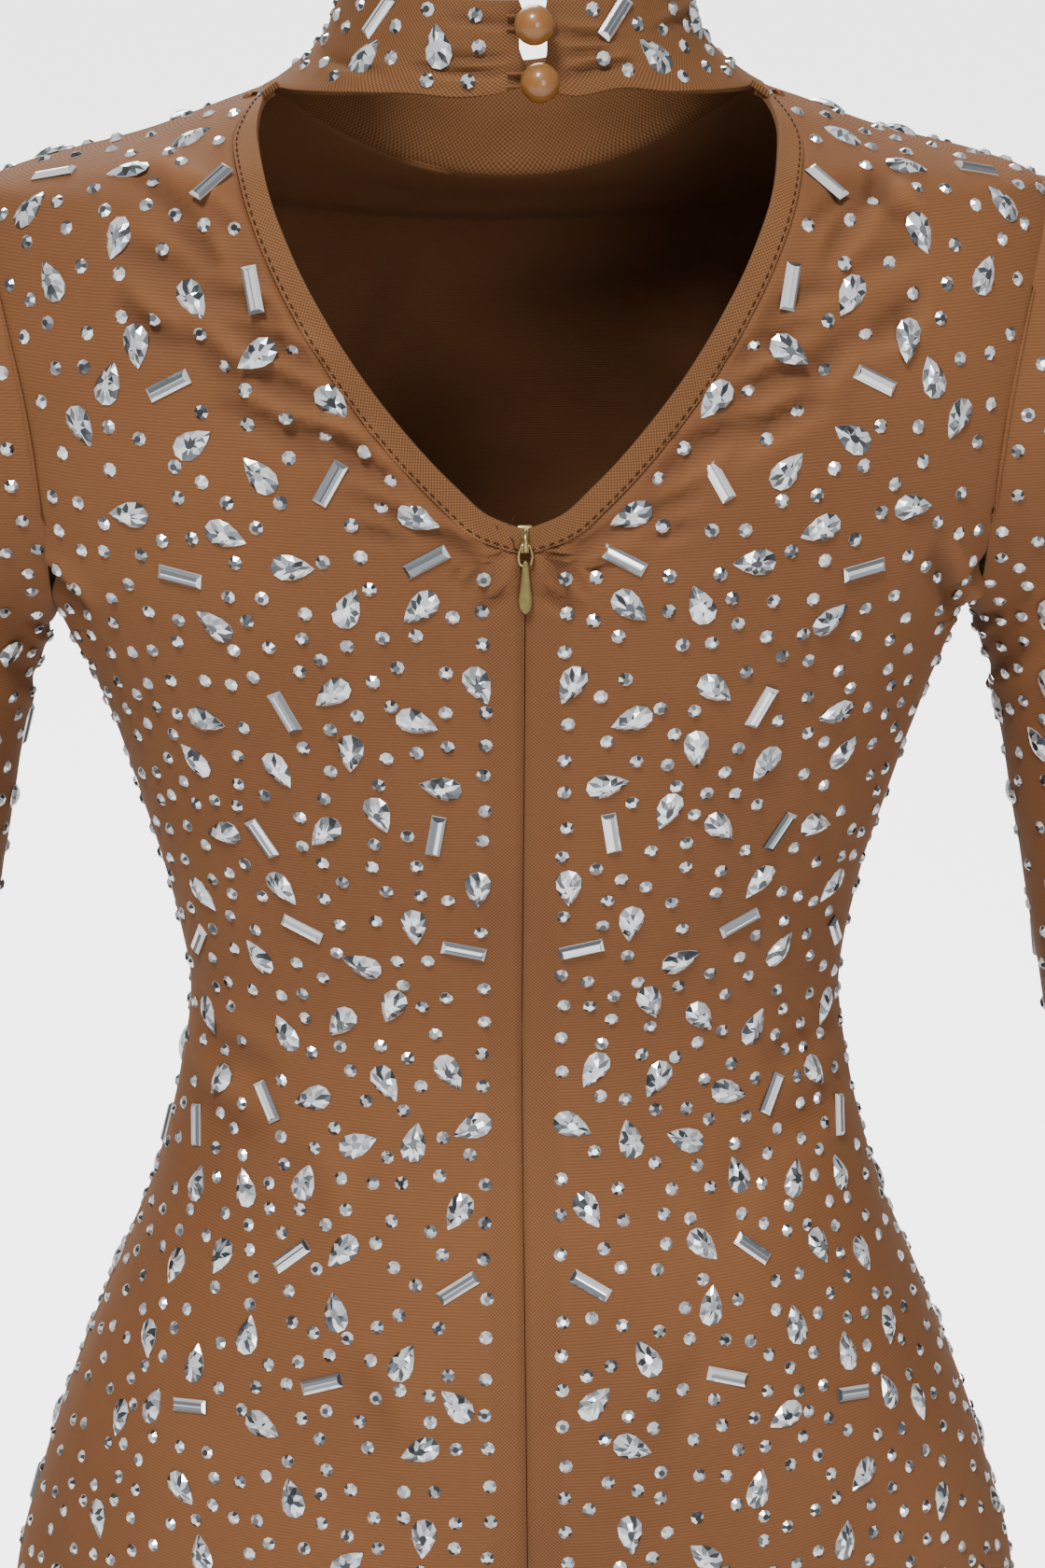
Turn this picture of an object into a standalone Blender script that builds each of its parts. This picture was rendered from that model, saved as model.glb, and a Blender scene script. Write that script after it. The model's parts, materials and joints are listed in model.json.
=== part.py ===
"""Maxi dress with a high buttoned collar, an open keyhole back, a centre back zip and long sleeves.

Metres, +Z up. The origin is the middle of the neck opening at shoulder height. The front faces -Y and
the wearer's left is +X. Every piece of cloth is a wall bent onto one form, which is given by level
sections from the collar to the hem. A place on the form has a turn, in degrees from the centre back
towards the wearer's left, and a height.
"""

import bisect
import math
from collections import namedtuple

import bmesh
import bpy
from mathutils import Vector

# Cloth
CLOTH = 0.0012
DOUBLED_CLOTH = 0.0020
BINDING_PROUD = 0.0004
SEAM_GAP = 0.0003
ROUNDNESS = 2.2

# Levels that more than one piece uses
NECK_EDGE = -0.0006
COLLAR_HEIGHT = 0.0300
SHOULDER_TIP = -0.0310
ARMPIT = -0.1720
HIPS = -0.5600
HEM = -1.3800
COLLAR_BACK_RISE = 0.0032

# Steps of the panels
SHOULDER_ROWS = 4
ARMHOLE_ROWS = 12
TORSO_ROWS = 14
SKIRT_ROWS = 11
BACK_COLUMNS = 10
FRONT_COLUMNS = 18

# The form: half width at the side seams, depth behind and in front of them, how far the front of the
# section dips below its height, and the depth of the flutes
Section = namedtuple("Section", "name height half_width back_depth front_depth front_dip flute")
SECTIONS = (
    Section("collar_top", 0.030, 0.0540, 0.0495, 0.0520, 0.0300, 0.0),
    Section("collar_middle", 0.013, 0.0620, 0.0520, 0.0500, 0.0330, 0.0),
    Section("neck", 0.000, 0.0770, 0.0550, 0.0500, 0.0360, 0.0),
    Section("neck_root", -0.006, 0.0930, 0.0595, 0.0540, 0.0350, 0.0),
    Section("shoulder_slope", -0.015, 0.1180, 0.0670, 0.0620, 0.0320, 0.0),
    Section("shoulder_outer", -0.024, 0.1530, 0.0745, 0.0685, 0.0285, 0.0),
    Section("shoulder_tip", -0.031, 0.1700, 0.0785, 0.0745, 0.0250, 0.0),
    Section("above_armhole", -0.050, 0.1790, 0.0860, 0.0840, 0.0190, 0.0),
    Section("upper_back", -0.080, 0.1840, 0.0935, 0.0940, 0.0120, 0.0),
    Section("shoulder_blades", -0.110, 0.1820, 0.0970, 0.1020, 0.0070, 0.0),
    Section("low_armhole", -0.140, 0.1720, 0.0975, 0.1090, 0.0030, 0.0),
    Section("armpit", -0.172, 0.1525, 0.0945, 0.1140, 0.0, 0.0),
    Section("bust", -0.200, 0.1400, 0.0900, 0.1150, 0.0, 0.0),
    Section("under_bust", -0.240, 0.1277, 0.0825, 0.1060, 0.0, 0.0),
    Section("ribs", -0.278, 0.1185, 0.0745, 0.0970, 0.0, 0.0),
    Section("waist", -0.308, 0.1142, 0.0700, 0.0940, 0.0, 0.0),
    Section("high_hip", -0.347, 0.1197, 0.0770, 0.0970, 0.0, 0.0),
    Section("belly", -0.391, 0.1317, 0.0930, 0.1030, 0.0, 0.0),
    Section("seat_top", -0.440, 0.1520, 0.1110, 0.1060, 0.0, 0.0),
    Section("seat", -0.504, 0.1757, 0.1230, 0.1070, 0.0, 0.0),
    Section("hips", -0.560, 0.1890, 0.1200, 0.1040, 0.0, 0.0),
    Section("thigh", -0.650, 0.1890, 0.1120, 0.0980, 0.0, 0.0),
    Section("above_knee", -0.760, 0.1790, 0.1030, 0.0920, 0.0, 0.0),
    Section("knee", -0.870, 0.1690, 0.0960, 0.0890, 0.0, 0.0005),
    Section("flare_top", -0.980, 0.1710, 0.0980, 0.0930, 0.0, 0.0030),
    Section("shin", -1.100, 0.1890, 0.1170, 0.1150, 0.0, 0.0080),
    Section("ankle", -1.250, 0.2220, 0.1500, 0.1500, 0.0, 0.0130),
    Section("hem", -1.380, 0.2520, 0.1800, 0.1820, 0.0, 0.0160),
)
FLUTES = 8
BUST_FULLNESS = 0.014
BUST_APART = 0.156
BUST_HEIGHT = -0.195
BUST_REACH = 0.060

# The armhole, whose edge bows in towards the neck between the shoulder tip and the armpit
ARMHOLE_BOW = 0.009

# The sleeve: underarm point and outer point of each section, half its depth and how far back it sits
Ring = namedtuple("Ring", "name under_x under_z over_x over_z half_depth back")
SLEEVE_RINGS = (
    Ring("armhole", 0.1525, -0.1720, 0.1700, -0.0310, 0.0590, 0.0),
    Ring("cap_top", 0.1540, -0.1745, 0.1860, -0.0350, 0.0570, 0.0),
    Ring("cap_high", 0.1555, -0.1775, 0.2020, -0.0460, 0.0545, 0.0),
    Ring("cap_middle", 0.1570, -0.1810, 0.2150, -0.0690, 0.0515, 0.0),
    Ring("cap_low", 0.1588, -0.1860, 0.2260, -0.0990, 0.0490, 0.0005),
    Ring("cap_base", 0.1610, -0.1930, 0.2340, -0.1350, 0.0465, 0.0010),
    Ring("biceps_top", 0.1640, -0.2040, 0.2390, -0.1700, 0.0445, 0.0015),
    Ring("biceps", 0.1680, -0.2200, 0.2420, -0.2040, 0.0430, 0.0020),
    Ring("upper_arm", 0.1780, -0.2700, 0.2500, -0.2550, 0.0410, 0.0040),
    Ring("elbow", 0.1900, -0.3300, 0.2580, -0.3150, 0.0385, 0.0050),
    Ring("forearm", 0.2010, -0.3900, 0.2660, -0.3770, 0.0370, 0.0020),
    Ring("low_forearm", 0.2140, -0.4600, 0.2730, -0.4500, 0.0320, -0.0060),
    Ring("above_wrist", 0.2270, -0.5300, 0.2800, -0.5210, 0.0280, -0.0160),
    Ring("cuff", 0.2390, -0.5960, 0.2890, -0.5880, 0.0270, -0.0260),
)
SLEEVE_STEPS = 18
CAP_RINGS = 3.0

# The keyhole's open edge, from the collar down to the zip
EdgePoint = namedtuple("EdgePoint", "name x height")
KEYHOLE_EDGE = (
    EdgePoint("at_collar", 0.0735, 0.0002),
    EdgePoint("top_corner", 0.0790, -0.0030),
    EdgePoint("widest", 0.0805, -0.0090),
    EdgePoint("upper_side", 0.0765, -0.0240),
    EdgePoint("side", 0.0678, -0.0450),
    EdgePoint("lower_side", 0.0532, -0.0700),
    EdgePoint("slope", 0.0385, -0.0897),
    EdgePoint("low_slope", 0.0221, -0.1078),
    EdgePoint("above_zip", 0.0110, -0.1178),
    EdgePoint("at_zip", 0.0013, -0.1218),
)
BINDING_WIDTH = 0.0080
BINDING_COLUMNS = 2
BINDING_FIRST_WAY = Vector((0.86, -0.51))
BINDING_LAST_WAY = Vector((0.0, -1.0))
ZIP_PARTING = 0.0013
PARTING_END = -0.1440

# Collar: the gap between its ends, in the wearer's right half
COLLAR_GAP_LEFT = 0.0002
COLLAR_GAP_RIGHT = -0.0086
COLLAR_COLUMNS = 36
COLLAR_ROWS = 4

# Ball buttons and their loops
BUTTON_RADIUS = 0.0060
BUTTON_STANDOFF = 0.0022
SHANK_RADIUS = 0.0009
SHANK_TOP_LEAN = 0.0010
SHANK_KNEE_X = -0.0083
SHANK_KNEE_SHARE = 0.35
SHANK_SEAT_X = -0.0093
SHANK_CLEARANCE = 0.0007
LOOP_CORD_RADIUS = 0.0006
LOOP_HALF_HEIGHT = 0.0019
LOOP_STANDOFF = 0.0014
LOOP_FOOT_X = 0.0040
LOOP_MIDDLE_X = -0.0030
LOOP_TURN_X = -0.0094
LOOP_TIP_X = -0.01070
Button = namedtuple("Button", "name x height")
BUTTONS = (
    Button("upper", -0.0041, 0.0235),
    Button("lower", -0.0058, 0.0068),
)

# Zip
TAPE_TOP_SHARE = 0.08
TAPE_HALF_WIDTH = 0.0100
TAPE_THICKNESS = 0.0010
TAPE_CLEARANCE = 0.0006
TAPE_ROWS = 11
SLIDER_SIZE = Vector((0.0052, 0.0020, 0.0090))
SLIDER_BEVEL = 0.0005
SLIDER_HEIGHT = -0.1258
CROWN_RADIUS = 0.0034
CROWN_WIRE = 0.0006
CROWN_SUNK = 0.0005
HINGE_HEIGHT = -0.1264
HINGE_STANDOFF = 0.0015
LINK_WIRE = 0.0004
LINK_HALF_WIDTH = 0.0016
LINK_LENGTH = 0.0060
LINK_CORNER = 0.0005
LINK_SHOULDER = 0.0010
LINK_BELLY_SHARE = 0.55
PULL_NECK = 0.0046
PULL_LENGTH = 0.0174
PULL_HALF_THICKNESS = 0.0009
PullWidth = namedtuple("PullWidth", "name share half_width")
PULL_WIDTHS = (
    PullWidth("tip", 0.0, 0.0),
    PullWidth("under_tip", 0.06, 0.0009),
    PullWidth("neck", 0.25, 0.0012),
    PullWidth("middle", 0.5, 0.0016),
    PullWidth("widest", 0.74, 0.00205),
    PullWidth("rounded_end", 0.9, 0.0016),
    PullWidth("end", 1.0, 0.0),
)

CARAMEL = (0.30, 0.11, 0.035, 1.0)
DARK_CARAMEL = (0.22, 0.08, 0.025, 1.0)
BUTTON_AMBER = (0.38, 0.14, 0.022, 1.0)
BRASS = (0.45, 0.36, 0.15, 1.0)
OLIVE = (0.30, 0.23, 0.06, 1.0)


def curve_through(places, values):
    """A smooth curve through points, as a function of place, that never swings past them."""
    steps = []
    for i in range(len(places) - 1):
        steps.append((values[i + 1] - values[i]) / (places[i + 1] - places[i]))
    slopes = [steps[0]]
    for before, after in zip(steps, steps[1:]):
        turning = before * after <= 0
        slopes.append(0.0 if turning else 2 * before * after / (before + after))
    slopes.append(steps[-1])

    def read(place):
        i = min(max(bisect.bisect_right(places, place) - 1, 0), len(steps) - 1)
        span = places[i + 1] - places[i]
        s = (place - places[i]) / span
        rise = values[i] * (1 + 2 * s) * (1 - s) ** 2 + values[i + 1] * s * s * (3 - 2 * s)
        lean = span * (slopes[i] * s * (1 - s) ** 2 + slopes[i + 1] * s * s * (s - 1))
        return rise + lean

    return read


def column_curve(column):
    """One column of the section table as a smooth curve of the height."""
    rows = sorted(SECTIONS, key=lambda row: row.height)
    return curve_through([row.height for row in rows], [getattr(row, column) for row in rows])


half_width = column_curve("half_width")
back_depth = column_curve("back_depth")
front_depth = column_curve("front_depth")
front_dip = column_curve("front_dip")
flute_depth = column_curve("flute")


def swelled(value):
    """A sine or cosine bent so that the section is a little squarer than an ellipse."""
    return math.copysign(abs(value) ** (2 / ROUNDNESS), value)


def turn_at(x, height):
    """Turn of the point on the back of the form that lies this far from the centre back."""
    share = min(abs(x) / half_width(height), 1.0)
    return math.degrees(math.asin(share ** (ROUNDNESS / 2)))


def on_form(turn, height):
    """Point on the outer side of the cloth."""
    angle = math.radians(turn)
    x = half_width(height) * swelled(math.sin(angle))
    facing_back = swelled(math.cos(angle))
    y = facing_back * (back_depth(height) if facing_back > 0 else front_depth(height))
    facing_front = max(-math.cos(angle), 0.0)
    z = height - front_dip(height) * facing_front**2
    away = (abs(x) - BUST_APART / 2) ** 2 + (z - BUST_HEIGHT) ** 2
    y -= BUST_FULLNESS * facing_front * math.exp(-away / BUST_REACH**2)
    spread = 1 + flute_depth(height) * math.cos(FLUTES * angle) / half_width(height)
    return Vector((x * spread, y * spread, z))


def inward(turn, height):
    """Direction from the outer side of the cloth to its inner side."""
    turn_step, height_step = 0.5, 0.0005
    round_form = on_form(turn + turn_step, height) - on_form(turn - turn_step, height)
    up_form = on_form(turn, height + height_step) - on_form(turn, height - height_step)
    return round_form.cross(up_form).normalized()


def mixed(first, second, share):
    return first + (second - first) * share


def mixed_points(first, second, share):
    """Mixes two pairs of a point and a direction."""
    return mixed(first[0], second[0], share), mixed(first[1], second[1], share)


def faded(share):
    """Goes from 1 to 0 with no corner at either end."""
    share = min(max(share, 0.0), 1.0)
    return 1 - share * share * (3 - 2 * share)


def evenly(first, last, steps):
    return [mixed(first, last, i / steps) for i in range(steps + 1)]


def armhole_heights():
    """Heights round the armhole, spaced as the points round a sleeve ring are."""
    middle, half = (SHOULDER_TIP + ARMPIT) / 2, (SHOULDER_TIP - ARMPIT) / 2
    return [middle + half * math.cos(math.pi * i / ARMHOLE_ROWS) for i in range(ARMHOLE_ROWS + 1)]


def armhole_turn(height):
    """Turn of the armhole's back edge, which is the side seam below it and the shoulder seam above."""
    if not ARMPIT < height < SHOULDER_TIP:
        return 90.0
    share = (SHOULDER_TIP - height) / (SHOULDER_TIP - ARMPIT)
    x = mixed(half_width(SHOULDER_TIP), half_width(ARMPIT), share)
    return turn_at(x - ARMHOLE_BOW * math.sin(math.pi * share), height)


def side_heights():
    """Row heights at the sides: shoulder seam, armhole, side seam."""
    rows = evenly(NECK_EDGE, SHOULDER_TIP, SHOULDER_ROWS)
    rows += armhole_heights()[1:]
    rows += evenly(ARMPIT, HIPS, TORSO_ROWS)[1:]
    return rows + evenly(HIPS, HEM, SKIRT_ROWS)[1:]


def front_heights():
    """Row heights at the centre front."""
    rows = evenly(NECK_EDGE, ARMPIT, SHOULDER_ROWS + ARMHOLE_ROWS)
    return rows + side_heights()[len(rows):]


def keyhole_lines():
    """The keyhole's open edge and the binding's seam beside it, as pairs of (x, height)."""
    steps = list(range(len(KEYHOLE_EDGE)))
    edge_x = curve_through(steps, [point.x for point in KEYHOLE_EDGE])
    edge_height = curve_through(steps, [point.height for point in KEYHOLE_EDGE])
    rows = SHOULDER_ROWS + ARMHOLE_ROWS
    open_edge, seam = [], []
    for i in range(rows + 1):
        s = steps[-1] * i / rows
        x, height = edge_x(s), edge_height(s)
        step = 0.01
        before, after = max(s - step, 0.0), min(s + step, steps[-1])
        along = Vector((edge_x(after) - edge_x(before), edge_height(after) - edge_height(before)))
        out = Vector((-along.y, along.x)).normalized()
        if i == 0:
            out = BINDING_FIRST_WAY
        if i == rows:
            out = BINDING_LAST_WAY
        reach = BINDING_WIDTH
        here = on_form(turn_at(x, height), height)
        for _ in range(4):
            seam_x, seam_height = x + out.x * reach, height + out.y * reach
            there = on_form(turn_at(seam_x, seam_height), seam_height)
            reach *= BINDING_WIDTH / (there - here).length
        open_edge.append((x, height))
        seam.append((seam_x, seam_height))
    return open_edge, seam


def centre_line():
    """The back panels' inner edge row by row, as (x, height): keyhole seam, then centre back seam."""
    _, line = keyhole_lines()
    zip_top = line[-1][1]
    for height in evenly(zip_top, HIPS, TORSO_ROWS)[1:] + evenly(HIPS, HEM, SKIRT_ROWS)[1:]:
        share = (zip_top - height) / (zip_top - PARTING_END)
        line.append((mixed(SEAM_GAP / 2, ZIP_PARTING, faded(share)), height))
    return line


def make_material(name, color, roughness, metallic=0.0):
    material = bpy.data.materials.new(name)
    material.diffuse_color = color
    material.use_nodes = True
    shader = material.node_tree.nodes["Principled BSDF"]
    shader.inputs["Base Color"].default_value = color
    shader.inputs["Roughness"].default_value = roughness
    shader.inputs["Metallic"].default_value = metallic
    return material


def add_object(name, mesh, material):
    """Puts a finished mesh in the dress's collection."""
    mesh.materials.clear()
    mesh.materials.append(material)
    piece = bpy.data.objects.new(name, mesh)
    dress.objects.link(piece)
    mesh.shade_smooth()
    mesh.set_sharp_from_angle(angle=math.radians(50))
    return piece


def make_wall(name, material, columns, rows, place, closed=False):
    """A grid bent onto its outer side, a copy of it as the inner side, and a rim that joins them.

    place gives the outer and the inner point for a column and a row.
    """
    shell = bmesh.new()
    inner_side = shell.verts.layers.float_vector.new("inner_side")
    bmesh.ops.create_grid(shell, x_segments=columns, y_segments=rows, size=0.5)
    for vertex in shell.verts:
        column = round((vertex.co.x + 0.5) * columns)
        row = round((vertex.co.y + 0.5) * rows)
        vertex.co, vertex[inner_side] = place(column, row)
    if closed:
        bmesh.ops.remove_doubles(shell, verts=shell.verts[:], dist=0.00001)
    shell.normal_update()
    outer_faces = shell.faces[:]
    facing_in = 0.0
    for face in outer_faces:
        corner = face.verts[0]
        facing_in += face.normal.dot(corner[inner_side] - corner.co)
    if facing_in > 0:
        bmesh.ops.reverse_faces(shell, faces=outer_faces)
    rim = []
    for edge in shell.edges:
        if edge.is_boundary:
            loop = edge.link_loops[0]
            rim.append((loop.vert, loop.link_loop_next.vert))
    everything = shell.verts[:] + shell.edges[:] + outer_faces
    copied = bmesh.ops.duplicate(shell, geom=everything)
    twin = copied["vert_map"]
    inner_faces = [item for item in copied["geom"] if isinstance(item, bmesh.types.BMFace)]
    inner_vertices = [item for item in copied["geom"] if isinstance(item, bmesh.types.BMVert)]
    bmesh.ops.reverse_faces(shell, faces=inner_faces)
    for vertex in inner_vertices:
        vertex.co = vertex[inner_side]
    for start, end in rim:
        shell.faces.new((end, start, twin[start], twin[end]))
    mesh = bpy.data.meshes.new(name)
    shell.to_mesh(mesh)
    shell.free()
    mesh.attributes.remove(mesh.attributes["inner_side"])
    return add_object(name, mesh, material)


def mirrored(point, side):
    return Vector((point.x * side, point.y, point.z))


def back_point(column, row):
    """Outer point and inward direction on the left back panel, for a column and a row of its grid."""
    outer_height = side_heights()[row]
    inner_x, inner_height = centre_line()[row]
    share = column / BACK_COLUMNS
    turn = mixed(turn_at(inner_x, inner_height), armhole_turn(outer_height), share)
    height = mixed(outer_height, inner_height, (1 - share) ** 2)
    outer = on_form(turn, height)
    outer.y += SEAM_GAP / 2
    if column == BACK_COLUMNS and ARMPIT <= outer_height <= SHOULDER_TIP:
        outer.x -= SEAM_GAP / 2
    return outer, inward(turn, height)


def make_back(name, side):
    """One back panel, from the keyhole's binding and the centre back to the side seam and armhole."""

    def place(column, row):
        outer, into = back_point(column, row)
        return mirrored(outer, side), mirrored(outer + into * CLOTH, side)

    return make_wall(name, caramel, BACK_COLUMNS, len(side_heights()) - 1, place)


def make_front():
    """The front panel, from one side seam to the other."""
    outer_heights, inner_heights = side_heights(), front_heights()

    def place(column, row):
        across = 2 * column / FRONT_COLUMNS - 1
        height = mixed(outer_heights[row], inner_heights[row], (1 - abs(across)) ** 2)
        turn = 180 - across * armhole_turn(outer_heights[row])
        outer = on_form(turn, height)
        outer.y -= SEAM_GAP / 2
        if abs(across) == 1 and ARMPIT <= outer_heights[row] <= SHOULDER_TIP:
            outer.x -= math.copysign(SEAM_GAP / 2, across)
        return outer, outer + inward(turn, height) * CLOTH

    return make_wall("front", caramel, FRONT_COLUMNS, len(outer_heights) - 1, place)


def make_sleeve(name, side):
    """A long sleeve. Its rings swing round the armpit, from the armhole to square across the arm."""
    steps = list(range(len(SLEEVE_RINGS)))
    curves = {}
    for column in Ring._fields[1:]:
        curves[column] = curve_through(steps, [getattr(ring, column) for ring in SLEEVE_RINGS])
    points_round = 2 * ARMHOLE_ROWS
    heights = armhole_heights()

    def ring_point(s, angle):
        under = Vector((curves["under_x"](s), curves["back"](s), curves["under_z"](s)))
        over = Vector((curves["over_x"](s), curves["back"](s), curves["over_z"](s)))
        half = (over - under) / 2
        depth = curves["half_depth"](s)
        point = (over + under) / 2 + half * math.cos(angle)
        point.y += depth * math.sin(angle)
        aside = half.normalized() * (math.cos(angle) / half.length)
        aside.y += math.sin(angle) / depth
        return point, -aside.normalized()

    def armhole_point(number):
        height = heights[number if number <= ARMHOLE_ROWS else points_round - number]
        turn = armhole_turn(height)
        point = on_form(turn if number <= ARMHOLE_ROWS else 180 - turn, height)
        point.x += SEAM_GAP / 2
        return point

    def place(column, row):
        number = column % points_round
        s = steps[-1] * row / SLEEVE_STEPS
        angle = math.tau * number / points_round
        point, inner_way = ring_point(s, angle)
        point += (armhole_point(number) - ring_point(0, angle)[0]) * faded(s / CAP_RINGS)
        return mirrored(point, side), mirrored(point + inner_way * CLOTH, side)

    return make_wall(name, caramel, points_round, SLEEVE_STEPS, place, closed=True)


def make_binding(name, side):
    """The doubled band along one side of the keyhole."""
    open_edge, seam = keyhole_lines()

    def place(column, row):
        start = SEAM_GAP / BINDING_WIDTH
        share = mixed(start, 1.0, column / BINDING_COLUMNS)
        x = mixed(seam[row][0], open_edge[row][0], share)
        height = mixed(seam[row][1], open_edge[row][1], share)
        turn = turn_at(x, height)
        into = inward(turn, height)
        outer = on_form(turn, height) - into * BINDING_PROUD
        return mirrored(outer, side), mirrored(outer + into * DOUBLED_CLOTH, side)

    return make_wall(name, dark_caramel, BINDING_COLUMNS, len(seam) - 1, place)


def make_collar():
    """The stand collar, from one end at the centre back round the front to the other."""

    def place(column, row):
        height = COLLAR_HEIGHT * row / COLLAR_ROWS
        start = turn_at(COLLAR_GAP_LEFT, height)
        end = 360 - turn_at(COLLAR_GAP_RIGHT, height)
        turn = mixed(start, end, column / COLLAR_COLUMNS)
        facing_back = max(math.cos(math.radians(turn)), 0.0)
        rise = COLLAR_BACK_RISE * facing_back**2 * (1 - row / COLLAR_ROWS)
        outer = on_form(turn, height + rise)
        return outer, outer + inward(turn, height + rise) * DOUBLED_CLOTH

    return make_wall("collar", caramel, COLLAR_COLUMNS, COLLAR_ROWS, place)


def make_tape():
    """Zip tape and coil, closed, behind the centre back seam, made from the back panels' points."""
    first_row = SHOULDER_ROWS + ARMHOLE_ROWS

    def place(column, row):
        share = TAPE_TOP_SHARE if row == 0 else 0.0
        edge = mixed_points(back_point(0, first_row + row), back_point(0, first_row + row + 1), share)
        next_in = mixed_points(back_point(1, first_row + row), back_point(1, first_row + row + 1), share)
        across = column - 1
        reach = abs(across) * TAPE_HALF_WIDTH / next_in[0].x
        outer, into = mixed_points(edge, next_in, reach)
        if across == 0:
            outer.x = 0.0
        start = outer + into * (CLOTH + TAPE_CLEARANCE)
        side = -1 if across < 0 else 1
        return mirrored(start, side), mirrored(start + into * TAPE_THICKNESS, side)

    return make_wall("zip_tape", dark_caramel, 2, TAPE_ROWS, place)


def mesh_of_curve(name, points, radius, sides):
    """A round wire along points, as a closed mesh."""
    curve = bpy.data.curves.new(name, "CURVE")
    curve.dimensions = "3D"
    curve.bevel_depth = radius
    curve.bevel_resolution = sides // 2 - 2
    curve.use_fill_caps = True
    spline = curve.splines.new("POLY")
    spline.points.add(len(points) - 1)
    for spline_point, point in zip(spline.points, points):
        spline_point.co = (*point, 1.0)
    holder = bpy.data.objects.new(name, curve)
    dress.objects.link(holder)
    graph = bpy.context.evaluated_depsgraph_get()
    mesh = bpy.data.meshes.new_from_object(holder.evaluated_get(graph))
    bpy.data.objects.remove(holder)
    bpy.data.curves.remove(curve)
    wire = bmesh.new()
    wire.from_mesh(mesh)
    bmesh.ops.remove_doubles(wire, verts=wire.verts[:], dist=0.00001)
    wire.to_mesh(mesh)
    wire.free()
    return mesh


def rounded_route(corners, steps):
    """Points along a smooth curve through a wire's corner points."""
    places = list(range(len(corners)))
    curves = [curve_through(places, [corner[axis] for corner in corners]) for axis in range(3)]
    total = steps * (len(corners) - 1)
    return [Vector([curve(i / steps) for curve in curves]) for i in range(total + 1)]


def join_solids(keeper, other):
    """Unites another object with the keeper and hides the other among the cutters."""
    dress.objects.unlink(other)
    cutters.objects.link(other)
    other.hide_render = True
    other.display_type = "WIRE"
    union = keeper.modifiers.new("join", "BOOLEAN")
    union.operation = "UNION"
    union.object = other


def make_button(button):
    """A ball button whose thread shank is sewn to the right end of the collar."""
    cloth_y = on_form(0, button.height).y
    centre = Vector((button.x, cloth_y + BUTTON_RADIUS + BUTTON_STANDOFF, button.height))
    ball = bmesh.new()
    bmesh.ops.create_uvsphere(ball, u_segments=16, v_segments=10, radius=BUTTON_RADIUS)
    bmesh.ops.translate(ball, verts=ball.verts[:], vec=centre)
    mesh = bpy.data.meshes.new("button_" + button.name)
    ball.to_mesh(mesh)
    ball.free()
    piece = add_object("button_" + button.name, mesh, amber)
    seat_turn = -turn_at(SHANK_SEAT_X, button.height)
    seat = on_form(seat_turn, button.height) - inward(seat_turn, button.height) * SHANK_CLEARANCE
    top = centre - Vector((SHANK_TOP_LEAN, BUTTON_RADIUS - SHANK_RADIUS, 0))
    knee = Vector((SHANK_KNEE_X, mixed(top.y, seat.y, SHANK_KNEE_SHARE), top.z))
    route = rounded_route([top, knee, seat], 3)
    shank_name = "shank_" + button.name
    shank = add_object(shank_name, mesh_of_curve(shank_name, route, SHANK_RADIUS, 8), amber)
    join_solids(piece, shank)
    return piece


def make_button_loop(button):
    """The cord loop from the left end of the collar round the button's shank."""
    height = button.height
    cloth_y = on_form(0, height).y
    foot_y = on_form(turn_at(LOOP_FOOT_X, height), height).y + LOOP_CORD_RADIUS + SEAM_GAP
    half = LOOP_HALF_HEIGHT
    arm_y = cloth_y + LOOP_STANDOFF
    corners = [
        Vector((LOOP_FOOT_X, foot_y, height + half)),
        Vector((LOOP_MIDDLE_X, arm_y, height + half)),
        Vector((LOOP_TURN_X, arm_y, height + half)),
        Vector((LOOP_TIP_X, arm_y, height)),
        Vector((LOOP_TURN_X, arm_y, height - half)),
        Vector((LOOP_MIDDLE_X, arm_y, height - half)),
        Vector((LOOP_FOOT_X, foot_y, height - half)),
    ]
    name = "loop_" + button.name
    mesh = mesh_of_curve(name, rounded_route(corners, 2), LOOP_CORD_RADIUS, 8)
    return add_object(name, mesh, dark_caramel)


def zip_face():
    """Depth of the cloth's outer side where the pull hangs."""
    return on_form(0, HINGE_HEIGHT).y


def make_slider():
    """The slider behind the cloth, with its crown standing out between the panels."""
    cloth_y = zip_face()
    back_y = cloth_y - DOUBLED_CLOTH + BINDING_PROUD - SEAM_GAP
    body = bmesh.new()
    bmesh.ops.create_cube(body, size=1.0)
    bmesh.ops.scale(body, verts=body.verts[:], vec=SLIDER_SIZE)
    bmesh.ops.bevel(
        body,
        geom=body.edges[:],
        offset=SLIDER_BEVEL,
        segments=1,
        profile=0.5,
        affect="EDGES",
        material=-1,
    )
    place = Vector((0, back_y - SLIDER_SIZE.y / 2, SLIDER_HEIGHT))
    bmesh.ops.translate(body, verts=body.verts[:], vec=place)
    mesh = bpy.data.meshes.new("zip_slider")
    body.to_mesh(mesh)
    body.free()
    piece = add_object("zip_slider", mesh, brass)
    bpy.ops.mesh.primitive_torus_add(
        major_radius=CROWN_RADIUS,
        minor_radius=CROWN_WIRE,
        major_segments=20,
        minor_segments=8,
        location=(0, cloth_y - CROWN_SUNK, SLIDER_HEIGHT),
        rotation=(0, math.pi / 2, 0),
    )
    crown = bpy.context.object
    crown.name = "crown"
    for collection in crown.users_collection:
        collection.objects.unlink(crown)
    dress.objects.link(crown)
    join_solids(piece, crown)
    return piece


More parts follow.
